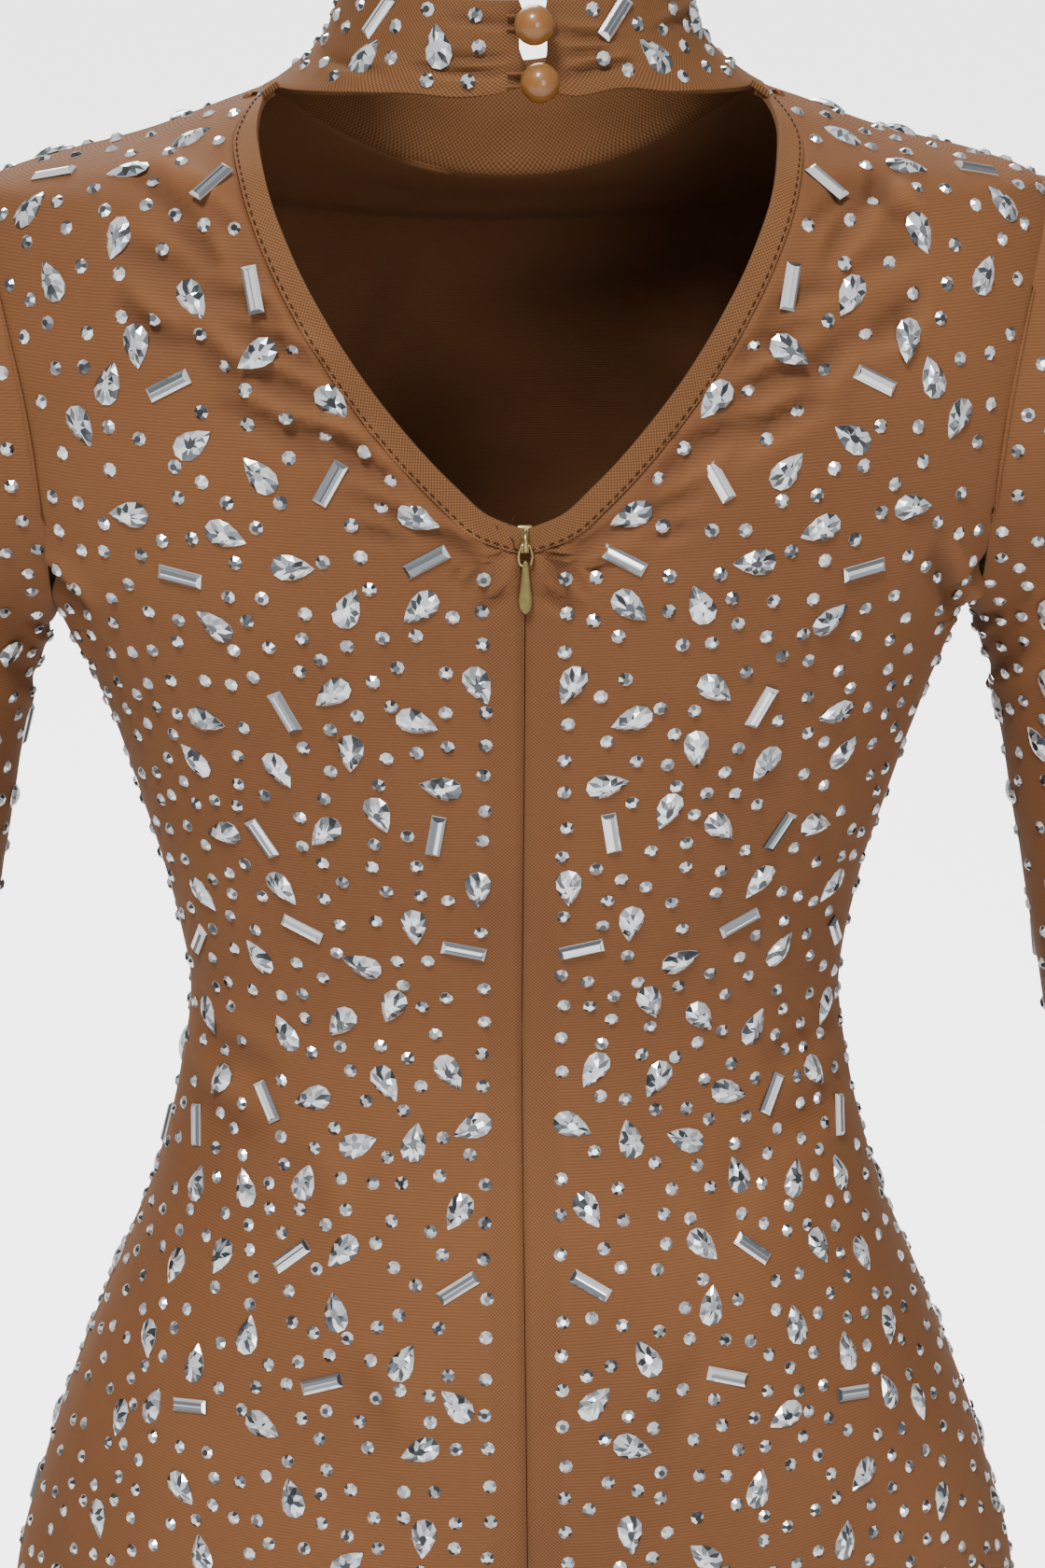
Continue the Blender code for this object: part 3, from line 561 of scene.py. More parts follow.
def rise_along(height):
    """Length up the shoulders and the body at a height, for the knit's rows."""
    step = 0.001
    slope = (half_width(height + step) - half_width(height)) / step
    return math.sqrt(1 + (SLOPE_SHARE * slope) ** 2) * step


cloth_rise = {}
total_rise = 0.0
for millimetre in range(-1400, 60):
    cloth_rise[millimetre] = total_rise
    total_rise += rise_along(millimetre / 1000)


def knit_row(height):
    low = math.floor(height * 1000)
    return mixed(cloth_rise[low], cloth_rise[low + 1], height * 1000 - low)


def bend_cloth(name, columns, rows, place, thickness, closed=False):
    """place gives the point, its (u, v) and the crease's depth there, for a column and a row."""
    sheet = bmesh.new()
    knit = sheet.loops.layers.uv.new("cloth")
    painted_crease_shade = sheet.verts.layers.float.new("painted_crease_shade")
    bmesh.ops.create_grid(sheet, x_segments=columns, y_segments=rows, size=0.5)
    lengths = {}
    for vertex in sheet.verts:
        column = round((vertex.co.x + 0.5) * columns)
        row = round((vertex.co.y + 0.5) * rows)
        vertex.co, lengths[vertex], depth = place(column, row)
        # Crease depth, from -1 to 1, kept for painted shade: darker in troughs, lighter on ridges.
        vertex[painted_crease_shade] = max(min(depth / DEEPEST_SHADED_CREASE, 1.0), -1.0)
    for face in sheet.faces:
        for corner in face.loops:
            corner[knit].uv = lengths[corner.vert]
    if closed:
        bmesh.ops.remove_doubles(sheet, verts=sheet.verts[:], dist=0.00001)
    middle = sum((vertex.co for vertex in sheet.verts), Vector()) / len(sheet.verts)
    sheet.normal_update()
    facing = sum(face.normal.dot(face.calc_center_median() - middle) for face in sheet.faces)
    if facing < 0:
        bmesh.ops.reverse_faces(sheet, faces=sheet.faces[:])
    area = sum(face.calc_area() for face in sheet.faces)
    mesh = bpy.data.meshes.new(name)
    sheet.to_mesh(mesh)
    sheet.free()
    mesh.shade_smooth()
    piece = bpy.data.objects.new(name, mesh)
    bpy.context.scene.collection.objects.link(piece)
    wall = piece.modifiers.new("thickness", "SOLIDIFY")
    wall.thickness = thickness
    wall.offset = -1.0
    print(name, columns, "x", rows, "cells, cloth area", round(area, 3), "m2")
    return piece


def finer(first, last, steps):
    return [mixed(first, last, i / steps) for i in range(steps)]


PANEL_ROWS = finer(0, ARMPIT_ROW, 72) + finer(ARMPIT_ROW, HIPS_ROW, 112) + finer(HIPS_ROW, HEM_ROW, 64)
PANEL_ROWS.append(HEM_ROW)
print(len(PANEL_ROWS), "rows in a panel")

# %% [markdown]
# ## The two back panels
#
# They meet at the zip below the keyhole. Each is the other's mirror in its cut, but the creases of the
# right one are shallower and a few of them are its own.
# %% Back panels
BACK_COLUMNS = 84
centre_places = [centre_place(row) for row in PANEL_ROWS]
side_heights = [side_height(row) for row in PANEL_ROWS]


def make_back(name, side):
    def place(column, row):
        inner_x, inner_height = centre_places[row]
        share = column / BACK_COLUMNS
        outer_turn = mixed(90.0, armhole_turn(side_heights[row]), share**EDGE_EASE)
        turn = mixed(turn_at(inner_x, inner_height), outer_turn, share)
        height = mixed(side_heights[row], inner_height, (1 - share) ** 2)
        outer, _ = on_cloth(turn * side, height)
        centre_y = on_form(0, height).y
        lengths = (side * math.hypot(outer.x, centre_y - outer.y), knit_row(height))
        return outer, lengths, crease_depth(turn * side, height)

    return bend_cloth(name, BACK_COLUMNS, len(PANEL_ROWS) - 1, place, CLOTH)


back_left = make_back("back_left_cloth", 1)
back_right = make_back("back_right_cloth", -1)

# %% [markdown]
# ## The front panel
#
# The front is one piece from side seam to side seam. Its columns are spread evenly from the middle, and
# its rows sag towards the middle, as the neck does.
# %% Front panel
FRONT_COLUMNS = 92


def front_height(row):
    return mixed(NECK_EDGE, ARMPIT, row / ARMPIT_ROW) if row < ARMPIT_ROW else side_height(row)


def place_on_front(column, row):
    across = 2 * column / FRONT_COLUMNS - 1
    edge = side_heights[row]
    height = mixed(edge, front_height(PANEL_ROWS[row]), (1 - abs(across)) ** 2)
    turn = 180 - across * mixed(90.0, armhole_turn(edge), abs(across) ** EDGE_EASE)
    outer, _ = on_cloth(turn, height)
    centre_y = on_form(180, height).y
    lengths = (math.copysign(math.hypot(outer.x, outer.y - centre_y), across), knit_row(height))
    return outer, lengths, crease_depth(turn, height)


front = bend_cloth("front_cloth", FRONT_COLUMNS, len(PANEL_ROWS) - 1, place_on_front, CLOTH)

# %% [markdown]
# ## Sleeves
#
# A set-in sleeve is one piece closed by an underarm seam. Its rings start on the armhole and swing
# round the armpit until they lie square across the arm, then follow a slightly bent elbow.
# %% Rings of a sleeve
Ring = namedtuple("Ring", "name under_x under_z over_x over_z half_depth back")
SLEEVE_RINGS = (
    Ring("armhole", 0.1525, -0.1720, 0.1700, -0.0310, 0.0590, 0.0),
    Ring("cap_top", 0.1540, -0.1745, 0.1860, -0.0350, 0.0570, 0.0),
    Ring("cap_high", 0.1555, -0.1775, 0.2020, -0.0460, 0.0545, 0.0),
    Ring("cap_middle", 0.1570, -0.1810, 0.2150, -0.0690, 0.0515, 0.0),
    Ring("cap_low", 0.1588, -0.1860, 0.2260, -0.0990, 0.0490, 0.0005),
    Ring("cap_base", 0.1610, -0.1930, 0.2340, -0.1350, 0.0465, 0.0010),
    Ring("biceps_top", 0.1640, -0.2040, 0.2390, -0.1700, 0.0445, 0.0015),
    Ring("biceps", 0.1680, -0.2200, 0.2420, -0.2040, 0.0430, 0.0020),
    Ring("upper_arm", 0.1780, -0.2700, 0.2500, -0.2550, 0.0410, 0.0040),
    Ring("elbow", 0.1900, -0.3300, 0.2580, -0.3150, 0.0385, 0.0050),
    Ring("forearm", 0.2010, -0.3900, 0.2660, -0.3770, 0.0370, 0.0020),
    Ring("low_forearm", 0.2140, -0.4600, 0.2730, -0.4500, 0.0320, -0.0060),
    Ring("above_wrist", 0.2270, -0.5300, 0.2800, -0.5210, 0.0280, -0.0160),
    Ring("cuff", 0.2390, -0.5960, 0.2890, -0.5880, 0.0270, -0.0260),
)
CAP_RINGS = 3.0
LAST_RING = len(SLEEVE_RINGS) - 1
ring_curves = {}
for ring_column in Ring._fields[1:]:
    ring_values = [getattr(ring, ring_column) for ring in SLEEVE_RINGS]
    ring_curves[ring_column] = curve_through(list(range(len(SLEEVE_RINGS))), ring_values)


def ring_point(s, angle):
    """Point of a plain ring, the direction out of it and the ring's centre."""
    under = Vector((ring_curves["under_x"](s), ring_curves["back"](s), ring_curves["under_z"](s)))
    over = Vector((ring_curves["over_x"](s), ring_curves["back"](s), ring_curves["over_z"](s)))
    half = (over - under) / 2
    depth = ring_curves["half_depth"](s)
    point = (over + under) / 2 + half * math.cos(angle)
    point.y += depth * math.sin(angle)
    out = half.normalized() * (math.cos(angle) / half.length)
    out.y += math.sin(angle) / depth
    return point, out.normalized(), (over + under) / 2


def armhole_point(angle):
    share = (angle % math.tau) / math.pi
    height = (SHOULDER_TIP + ARMPIT) / 2 + (SHOULDER_TIP - ARMPIT) / 2 * math.cos(math.pi * share)
    turn = armhole_turn(height)
    return on_form(turn if share <= 1 else 180 - turn, height)


SLEEVE_ROWS, SLEEVE_COLUMNS = 130, 72
sleeve_lengths = [0.0]
for step in range(1, SLEEVE_ROWS + 1):
    ring_before = ring_point(LAST_RING * (step - 1) / SLEEVE_ROWS, math.pi / 2)[2]
    ring_after = ring_point(LAST_RING * step / SLEEVE_ROWS, math.pi / 2)[2]
    sleeve_lengths.append(sleeve_lengths[-1] + (ring_after - ring_before).length)
print("sleeve length along its middle", round(sleeve_lengths[-1], 3))


# %% Sleeve surface and the two sleeves
TUCKED, TUCKED_ROWS, TUCKED_IN = 0.04, 3, 0.00005
CREASE_ROUND, KNIT_ROUND, KNIT_ALONG = 0.040, 0.052, 1.04
SMOOTH_RINGS, SLEEVE_GRAIN = 1.2, 1.3


def on_sleeve(s, angle):
    """Outer point of the creased left sleeve, the direction out of it, and its u and v."""
    point, out, centre = ring_point(s, angle)
    point += (armhole_point(angle) - ring_point(0, angle)[0]) * faded(s / CAP_RINGS)
    share = max(s, 0.0) / LAST_RING * SLEEVE_ROWS
    low = min(int(share), SLEEVE_ROWS - 1)
    along = mixed(sleeve_lengths[low], sleeve_lengths[low + 1], share - low)
    round_it = angle * CREASE_ROUND
    depth = sleeve_creases(round_it, -along) + uneven(point * SLEEVE_GRAIN)
    depth *= 1 - faded(s / SMOOTH_RINGS)
    return point - out * depth, out, (round_it, -along)


def make_sleeve(name, side):
    def place(column, row):
        angle = math.tau * column / SLEEVE_COLUMNS
        s = LAST_RING * row / SLEEVE_ROWS
        s -= TUCKED * max(1 - row / TUCKED_ROWS, 0.0)
        point, out, (_, along) = on_sleeve(s, angle if column < SLEEVE_COLUMNS else 0.0)
        point -= out * (TUCKED_IN if row < 2 else 0.0)
        lengths = (angle * KNIT_ROUND * side, point.z * KNIT_ALONG)
        depth = sleeve_creases(angle * CREASE_ROUND, along) * (1 - faded(s / SMOOTH_RINGS))
        return Vector((point.x * side, point.y, point.z)), lengths, depth

    return bend_cloth(name, SLEEVE_COLUMNS, SLEEVE_ROWS, place, CLOTH, closed=True)


sleeve_left = make_sleeve("sleeve_left_cloth", 1)
sleeve_right = make_sleeve("sleeve_right_cloth", -1)

# %% [markdown]
# ## Collar and bands
#
# The stand collar is doubled cloth, open at the centre back. Its lower edge is pulled in soft level
# folds beside the buttons. The bands that edge the keyhole are doubled strips with a rounded edge.
# %% Collar
COLLAR_GAP_LEFT, COLLAR_GAP_RIGHT, COLLAR_BACK_RISE = 0.0002, -0.0086, 0.0032
COLLAR_COLUMNS, COLLAR_ROWS = 170, 20
Button = namedtuple("Button", "name x height")
BUTTONS = (Button("upper", -0.0041, 0.0235), Button("lower", -0.0058, 0.0068))
COLLAR_CREASES = (
    Crease(0.003, 0.0060, 0.034, 0.0085, 1.9, 1.6, -0.6),
    Crease(0.002, 0.0115, 0.030, 0.0130, 1.5, 1.5, 0.5),
    Crease(0.001, 0.0215, 0.022, 0.0235, 1.1, 1.5, -0.5),
    Crease(0.040, 0.0060, 0.062, 0.0100, 1.2, 1.8, -0.6),
    Crease(-0.012, 0.0060, -0.036, 0.0085, 1.8, 1.6, 0.6),
    Crease(-0.010, 0.0200, -0.032, 0.0170, 1.3, 1.7, -0.5),
    Crease(-0.011, 0.0125, -0.030, 0.0120, 1.2, 1.4, 0.4),
    Crease(-0.040, 0.0180, -0.060, 0.0230, 1.0, 1.8, 0.5),
)
collar_creases = relief_of([crease_line(*crease) for crease in COLLAR_CREASES])
Wave = namedtuple("Wave", "rise x reach")
EDGE_WAVES = (
    Wave(0.0016, 0.0005, 0.004),
    Wave(0.0013, -0.034, 0.008),
    Wave(-0.0014, 0.018, 0.012),
    Wave(-0.0012, -0.017, 0.006),
)
SEAM_LAP, COLLAR_GRAIN, COLLAR_SPREAD, COLLAR_ROUND = 0.0014, 1.6, 0.0003, 0.060
LAP_FROM, LAP_STEEPNESS, LAP_SIDE, LAP_FADE = 0.9, 10, 0.35, 0.3


def edge_wave(x):
    """How far the collar's lower edge rises or sinks beside the buttons, where the loops pull it."""
    return sum(wave.rise * math.exp(-(((x - wave.x) / wave.reach) ** 2)) for wave in EDGE_WAVES)


def on_collar(turn, height):
    facing_back = max(math.cos(math.radians(turn)), 0.0)
    low = 1 - height / COLLAR_HEIGHT
    lifted = height + COLLAR_BACK_RISE * facing_back**2 * low
    point = on_form(turn, lifted)
    out = -inward(turn, lifted)
    depth = collar_creases(point.x, height) if facing_back > 0 else 0.0
    lifted += edge_wave(point.x) * low**2 * facing_back
    lapped = SEAM_LAP * max(low - LAP_FROM, 0.0) * LAP_STEEPNESS
    lifted -= lapped * (1 - faded((LAP_SIDE - facing_back) / LAP_FADE))
    point = on_form(turn, lifted)
    return point - out * (depth + uneven(point * COLLAR_GRAIN) - COLLAR_SPREAD * low), out


BUTTON_REACH, LEFT_PULL, RIGHT_PULL, COLLAR_SHADE, FOLD_ROUND = 0.0036, 0.0022, 0.0016, 1.5, 0.0006


def near_button(height):
    """1 at a button's height and less away from it, where the loop draws the two ends together."""
    return sum(math.exp(-(((height - button.height) / BUTTON_REACH) ** 2)) for button in BUTTONS)


def place_on_collar(column, row):
    height = COLLAR_HEIGHT * row / COLLAR_ROWS
    drawn = near_button(height)
    start = -turn_at(LEFT_PULL * drawn, height) if drawn > 0.1 else turn_at(COLLAR_GAP_LEFT, height)
    end = 360 - turn_at(-COLLAR_GAP_RIGHT - RIGHT_PULL * drawn, height)
    turn = mixed(start, end, column / COLLAR_COLUMNS)
    point, _ = on_collar(turn, height)
    # The crease depth, made stronger by COLLAR_SHADE, is kept for the painted shade of the collar's folds.
    creased = collar_creases(point.x, height) if math.cos(math.radians(turn)) > 0 else 0.0
    return point, (math.radians(turn) * COLLAR_ROUND, height), creased * COLLAR_SHADE


def turn_edges(piece, name):
    """Rounds the folded edges of doubled cloth."""
    fold = piece.modifiers.new(name, "BEVEL")
    fold.width = FOLD_ROUND
    fold.segments = 2
    fold.limit_method = "ANGLE"


collar = bend_cloth("collar_cloth", COLLAR_COLUMNS, COLLAR_ROWS, place_on_collar, DOUBLED_CLOTH)
turn_edges(collar, "turned_edges")

# %% Bands along the keyhole
BAND_COLUMNS, BAND_ROWS = 8, 120
band_rows = [ARMPIT_ROW * i / BAND_ROWS for i in range(BAND_ROWS + 1)]
band_places = [keyhole_place(row) for row in band_rows]
band_lengths = [0.0]
for first, second in zip(band_places, band_places[1:]):
    first_point = on_form(turn_at(*first[1]), first[1][1])
    second_point = on_form(turn_at(*second[1]), second[1][1])
    band_lengths.append(band_lengths[-1] + (second_point - first_point).length)


def across_band(share, row, side):
    """Turn and height on a band, where share is 0 at the seam and 1 at the open edge."""
    open_edge, seam = band_places[row]
    x, height = mixed(seam[0], open_edge[0], share), mixed(seam[1], open_edge[1], share)
    return turn_at(x, height) * side, height


def on_band(share, row, side):
    point, out = on_cloth(*across_band(share, row, side))
    return point + out * BINDING_PROUD, out


def make_band(name, side):
    def place(column, row):
        share = mixed(SEAM_GAP / BINDING_WIDTH, 1.0, column / BAND_COLUMNS)
        point, _ = on_band(share, row, side)
        lengths = (side * share * BINDING_WIDTH, -band_lengths[row])
        return point, lengths, crease_depth(*across_band(share, row, side))

    band = bend_cloth(name, BAND_COLUMNS, BAND_ROWS, place, DOUBLED_CLOTH)
    turn_edges(band, "folded_edge")
    return band


band_left = make_band("band_left_cloth", 1)
band_right = make_band("band_right_cloth", -1)
print("band length", round(band_lengths[-1], 3))

# %% [markdown]
# ## Stitching
#
# A line of dark thread holds each band to its panel, and a coverstitch runs round the hem and the
# cuffs. A stitch could be painted on, but seen close it stands up from the cloth, so each is a short
# six-sided length of thread, pinched at both ends where it dives in.
# %% One stitch and rows of them
def tapered_rod(length, radius):
    rod = bmesh.new()
    bmesh.ops.create_cone(
        rod, cap_ends=True, segments=6, radius1=radius * 0.5, radius2=radius * 0.5, depth=length
    )
    upright = [edge for edge in rod.edges if abs(edge.verts[0].co.z - edge.verts[1].co.z) > length / 2]
    cut = bmesh.ops.subdivide_edges(rod, edges=upright, cuts=2)
    for vertex in {item for item in cut["geom_inner"] if isinstance(item, bmesh.types.BMVert)}:
        vertex.co.x *= 2.0
        vertex.co.y *= 2.0
    bmesh.ops.rotate(rod, verts=rod.verts[:], matrix=Matrix.Rotation(math.pi / 2, 3, "Y"))
    mesh = bpy.data.meshes.new("stitch")
    rod.to_mesh(mesh)
    rod.free()
    return mesh


def standing_on(point, out, way):
    """Matrix whose Z is the direction out of the cloth and whose X is the way given."""
    across = out.cross(way).normalized()
    along = across.cross(out).normalized()
    turned = Matrix((along, across, out)).transposed().to_4x4()
    return Matrix.Translation(point) @ turned


def join_copies(name, placed):
    """Joins copies of small meshes, given as (mesh, matrix), into one piece."""
    joined = bmesh.new()
    for pattern, matrix in placed:
        shaped = pattern.copy()
        shaped.transform(matrix)
        joined.from_mesh(shaped)
        bpy.data.meshes.remove(shaped)
    mesh = bpy.data.meshes.new(name)
    joined.to_mesh(mesh)
    joined.free()
    piece = bpy.data.objects.new(name, mesh)
    bpy.context.scene.collection.objects.link(piece)
    triangles = sum(len(face.vertices) - 2 for face in mesh.polygons)
    print(name, len(placed), "pieces,", triangles, "triangles")
    return piece


def stitches_along(points, outs, pitch):
    """Places on a line, one for each stitch."""
    placed = []
    travelled, wanted = 0.0, pitch / 2
    for here, there, out in zip(points, points[1:], outs):
        span = (there - here).length
        while wanted < travelled + span:
            share = (wanted - travelled) / span
            placed.append(standing_on(mixed(here, there, share), out, there - here))
            wanted += pitch
        travelled += span
    return placed


STITCH_LENGTH, STITCH_PITCH, THREAD_RADIUS, THREAD_LIFT = 0.0019, 0.0031, 0.00030, 0.0001
STITCH_SHARE = 0.17
stitch_mesh = tapered_rod(STITCH_LENGTH, THREAD_RADIUS)
band_stitches = []
for side in (1, -1):
    line = [on_band(STITCH_SHARE, row, side) for row in range(BAND_ROWS + 1)]
    lifted = [point + out * THREAD_LIFT for point, out in line]
    places = stitches_along(lifted, [out for _, out in line], STITCH_PITCH)
    band_stitches += [(stitch_mesh, place) for place in places]
band_stitching = join_copies("band_stitching", band_stitches)

# %% Stitching of the hem and the cuffs
HEM_ALLOWANCE, CUFF_ALLOWANCE, HEM_PITCH, CUFF_PITCH = 0.018, 0.22, 0.0036, 0.0032


def to_side(vector, side):
    return Vector((vector.x * side, vector.y, vector.z))


hem_line = [on_cloth(turn, HEM + HEM_ALLOWANCE) for turn in range(0, 361, 2)]
hem_points = [point + out * THREAD_LIFT for point, out in hem_line]
edge_places = stitches_along(hem_points, [out for _, out in hem_line], HEM_PITCH)
for side in (1, -1):
    cuff_points, cuff_outs = [], []
    for column in range(SLEEVE_COLUMNS + 1):
        point, out, _ = on_sleeve(LAST_RING - CUFF_ALLOWANCE, math.tau * column / SLEEVE_COLUMNS)
        cuff_points.append(Vector(((point + out * THREAD_LIFT).x * side, point.y, point.z)))
        cuff_outs.append(to_side(out, side))
    edge_places += stitches_along(cuff_points, cuff_outs, CUFF_PITCH)
edge_stitching = join_copies("edge_stitching", [(stitch_mesh, place) for place in edge_places])

# %% [markdown]
# ## Buttons, loops and zip
#
# The ball buttons are glossy and round, each on a short shank held by a cord loop. The zip shows only
# its brass crown, a bent wire link and a drop-shaped pull. They are remade here finer than the CAD has
# them, on the same sizes, because they are looked at closely.
# %% Wires and rounded routes
def rounded_route(corners, steps):
    places = list(range(len(corners)))
    curves = [curve_through(places, [corner[axis] for corner in corners]) for axis in range(3)]
    total = steps * (len(corners) - 1)
    return [Vector([curve(i / steps) for curve in curves]) for i in range(total + 1)]


def add_mesh(name, built, smooth=True):
    bmesh.ops.recalc_face_normals(built, faces=built.faces[:])
    mesh = bpy.data.meshes.new(name)
    built.to_mesh(mesh)
    built.free()
    if smooth:
        mesh.shade_smooth()
        mesh.set_sharp_from_angle(angle=math.radians(45))
    piece = bpy.data.objects.new(name, mesh)
    bpy.context.scene.collection.objects.link(piece)
    return piece


def add_wire(built, points, radius, sides):
    """Sweeps a round wire along points: one circle, extruded from point to point."""
    ways = [(after - before).normalized() for before, after in zip(points, points[1:])]
    ways = [ways[0]] + [(a + b).normalized() for a, b in zip(ways, ways[1:])] + [ways[-1]]
    ring = bmesh.ops.create_circle(built, cap_ends=True, segments=sides, radius=radius)["verts"]
    circle = [vertex.co.copy() for vertex in ring]
    face = ring[0].link_faces[0]
    side_way = ways[0].orthogonal().normalized()
    for number, (point, way) in enumerate(zip(points, ways)):
        if number:
            last_face = face
            pushed = bmesh.ops.extrude_face_region(built, geom=[last_face])["geom"]
            face = next(item for item in pushed if isinstance(item, bmesh.types.BMFace))
            if number > 1:
                bmesh.ops.delete(built, geom=[last_face], context="FACES_ONLY")
            ring = list(face.verts)
        side_way = (side_way - way * side_way.dot(way)).normalized()
        third = way.cross(side_way)
        for vertex, place in zip(ring, circle):
            vertex.co = point + side_way * place.x + third * place.y


print("wire tools ready")

# %% Buttons and loops
BUTTON_RADIUS, BUTTON_STANDOFF = 0.0060, 0.0022
SHANK_RADIUS, SHANK_CLEARANCE = 0.0009, 0.0007
SHANK_SEAT, SHANK_KNEE, SHANK_TOP_ASIDE, KNEE_SHARE = 0.0093, 0.0083, 0.0010, 0.35
LOOP_HALF, LOOP_FOOT, LOOP_ARM, LOOP_TURN, LOOP_TIP = 0.0019, 0.0040, -0.0030, -0.0094, -0.0107
CORD_RADIUS, FOOT_LIFT, ARM_LIFT = 0.0006, 0.0009, 0.0014


def make_button(button):
    cloth_y = on_form(0, button.height).y
    centre = Vector((button.x, cloth_y + BUTTON_RADIUS + BUTTON_STANDOFF, button.height))
    ball = bmesh.new()
    bmesh.ops.create_uvsphere(ball, u_segments=40, v_segments=24, radius=BUTTON_RADIUS)
    bmesh.ops.translate(ball, verts=ball.verts[:], vec=centre)
    seat_turn = -turn_at(SHANK_SEAT, button.height)
    seat = on_form(seat_turn, button.height) - inward(seat_turn, button.height) * SHANK_CLEARANCE
    top = centre - Vector((SHANK_TOP_ASIDE, BUTTON_RADIUS - SHANK_RADIUS, 0))
    knee = Vector((-SHANK_KNEE, mixed(top.y, seat.y, KNEE_SHARE), top.z))
    add_wire(ball, rounded_route([top, knee, seat], 6), SHANK_RADIUS, 12)
    return add_mesh("button_" + button.name + "_ball", ball)


def make_loop(button):
    height = button.height
    foot_y = on_form(turn_at(LOOP_FOOT, height), height).y + FOOT_LIFT
    arm_y = on_form(0, height).y + ARM_LIFT
    one_arm = ((LOOP_FOOT, foot_y), (LOOP_ARM, arm_y), (LOOP_TURN, arm_y))
    corners = [Vector((x, y, height + LOOP_HALF)) for x, y in one_arm]
    corners.append(Vector((LOOP_TIP, arm_y, height)))
    corners += [Vector((x, y, height - LOOP_HALF)) for x, y in reversed(one_arm)]
    cord = bmesh.new()
    add_wire(cord, rounded_route(corners, 6), CORD_RADIUS, 10)
    return add_mesh("loop_" + button.name + "_cord", cord)


balls = [make_button(button) for button in BUTTONS]
loops = [make_loop(button) for button in BUTTONS]
print("buttons at heights", [button.height for button in BUTTONS])

# %% Zip crown, link and pull
SLIDER_HEIGHT, HINGE_HEIGHT, HINGE_PROUD = -0.1258, -0.1264, 0.0015
SLIDER_WIDE, SLIDER_THICK, SLIDER_HIGH, SLIDER_SUNK, SLIDER_ROUND = 0.0052, 0.0020, 0.0090, 0.0029, 0.0006
CROWN_BEND, CROWN_WIRE, CROWN_SUNK, CROWN_STEPS, CROWN_HALF_TURN = 0.0034, 0.0006, 0.0005, 24, 110
zip_face = on_form(0, HINGE_HEIGHT).y
hinge = Vector((0, zip_face + HINGE_PROUD, HINGE_HEIGHT))

slider = bmesh.new()
bmesh.ops.create_cube(slider, size=1.0)
bmesh.ops.scale(slider, verts=slider.verts[:], vec=(SLIDER_WIDE, SLIDER_THICK, SLIDER_HIGH))
bmesh.ops.bevel(
    slider, geom=slider.edges[:], offset=SLIDER_ROUND, segments=3, profile=0.5, affect="EDGES", material=-1
)
bmesh.ops.translate(slider, verts=slider.verts[:], vec=(0, zip_face - SLIDER_SUNK, SLIDER_HEIGHT))
crown_middle = Vector((0, zip_face - CROWN_SUNK, SLIDER_HEIGHT))
crown_points = []
for i in range(CROWN_STEPS + 1):
    angle = math.radians(mixed(-CROWN_HALF_TURN, CROWN_HALF_TURN, i / CROWN_STEPS))
    crown_points.append(crown_middle + Vector((0, math.cos(angle), math.sin(angle))) * CROWN_BEND)
add_wire(slider, crown_points, CROWN_WIRE, 12)
zip_slider = add_mesh("zip_slider_body", slider)

link = bmesh.new()
LINK_WIRE = 0.0004
LinkPoint = namedtuple("LinkPoint", "name x z")
LINK_ARM = (
    LinkPoint("open_end", -0.0016, -0.0060),
    LinkPoint("belly", -0.0021, -0.0033),
    LinkPoint("shoulder", -0.0016, -0.0010),
    LinkPoint("hinge", -0.0011, 0.0),
)
LINK_CLOSED_END = LinkPoint("closed_end", 0.0004, -0.0066)
link_corners = [Vector((point.x, 0, point.z)) for point in LINK_ARM]
link_corners += [Vector((-point.x, 0, point.z)) for point in reversed(LINK_ARM)]
link_corners.append(Vector((LINK_CLOSED_END.x, 0, LINK_CLOSED_END.z)))
add_wire(link, [hinge + point for point in rounded_route(link_corners, 6)], LINK_WIRE, 10)
zip_link = add_mesh("zip_link_wire", link)

PullWidth = namedtuple("PullWidth", "name share half_width")
PULL_WIDTHS = (
    PullWidth("tip", 0.0, 0.0),
    PullWidth("under_tip", 0.06, 0.0009),
    PullWidth("neck", 0.25, 0.0012),
    PullWidth("middle", 0.5, 0.0016),
    PullWidth("widest", 0.74, 0.00205),
    PullWidth("rounded_end", 0.9, 0.0016),
    PullWidth("end", 1.0, 0.0),
)
PULL_TOP, PULL_LENGTH, PULL_HALF_THICK = -0.0046, 0.0174, 0.0009
pull_width = curve_through([row.share for row in PULL_WIDTHS], [row.half_width for row in PULL_WIDTHS])
drop = bmesh.new()
bmesh.ops.create_uvsphere(drop, u_segments=32, v_segments=40, radius=1.0)
for vertex in drop.verts:
    share = math.acos(max(min(vertex.co.z, 1.0), -1.0)) / math.pi
    around = Vector((vertex.co.x, vertex.co.y))
    if around.length > 0:
        around.normalize()
    width = pull_width(share)
    thick = min(width, PULL_HALF_THICK)
    vertex.co = hinge + Vector((around.x * width, around.y * thick, PULL_TOP - PULL_LENGTH * share))
zip_pull = add_mesh("zip_pull_drop", drop)

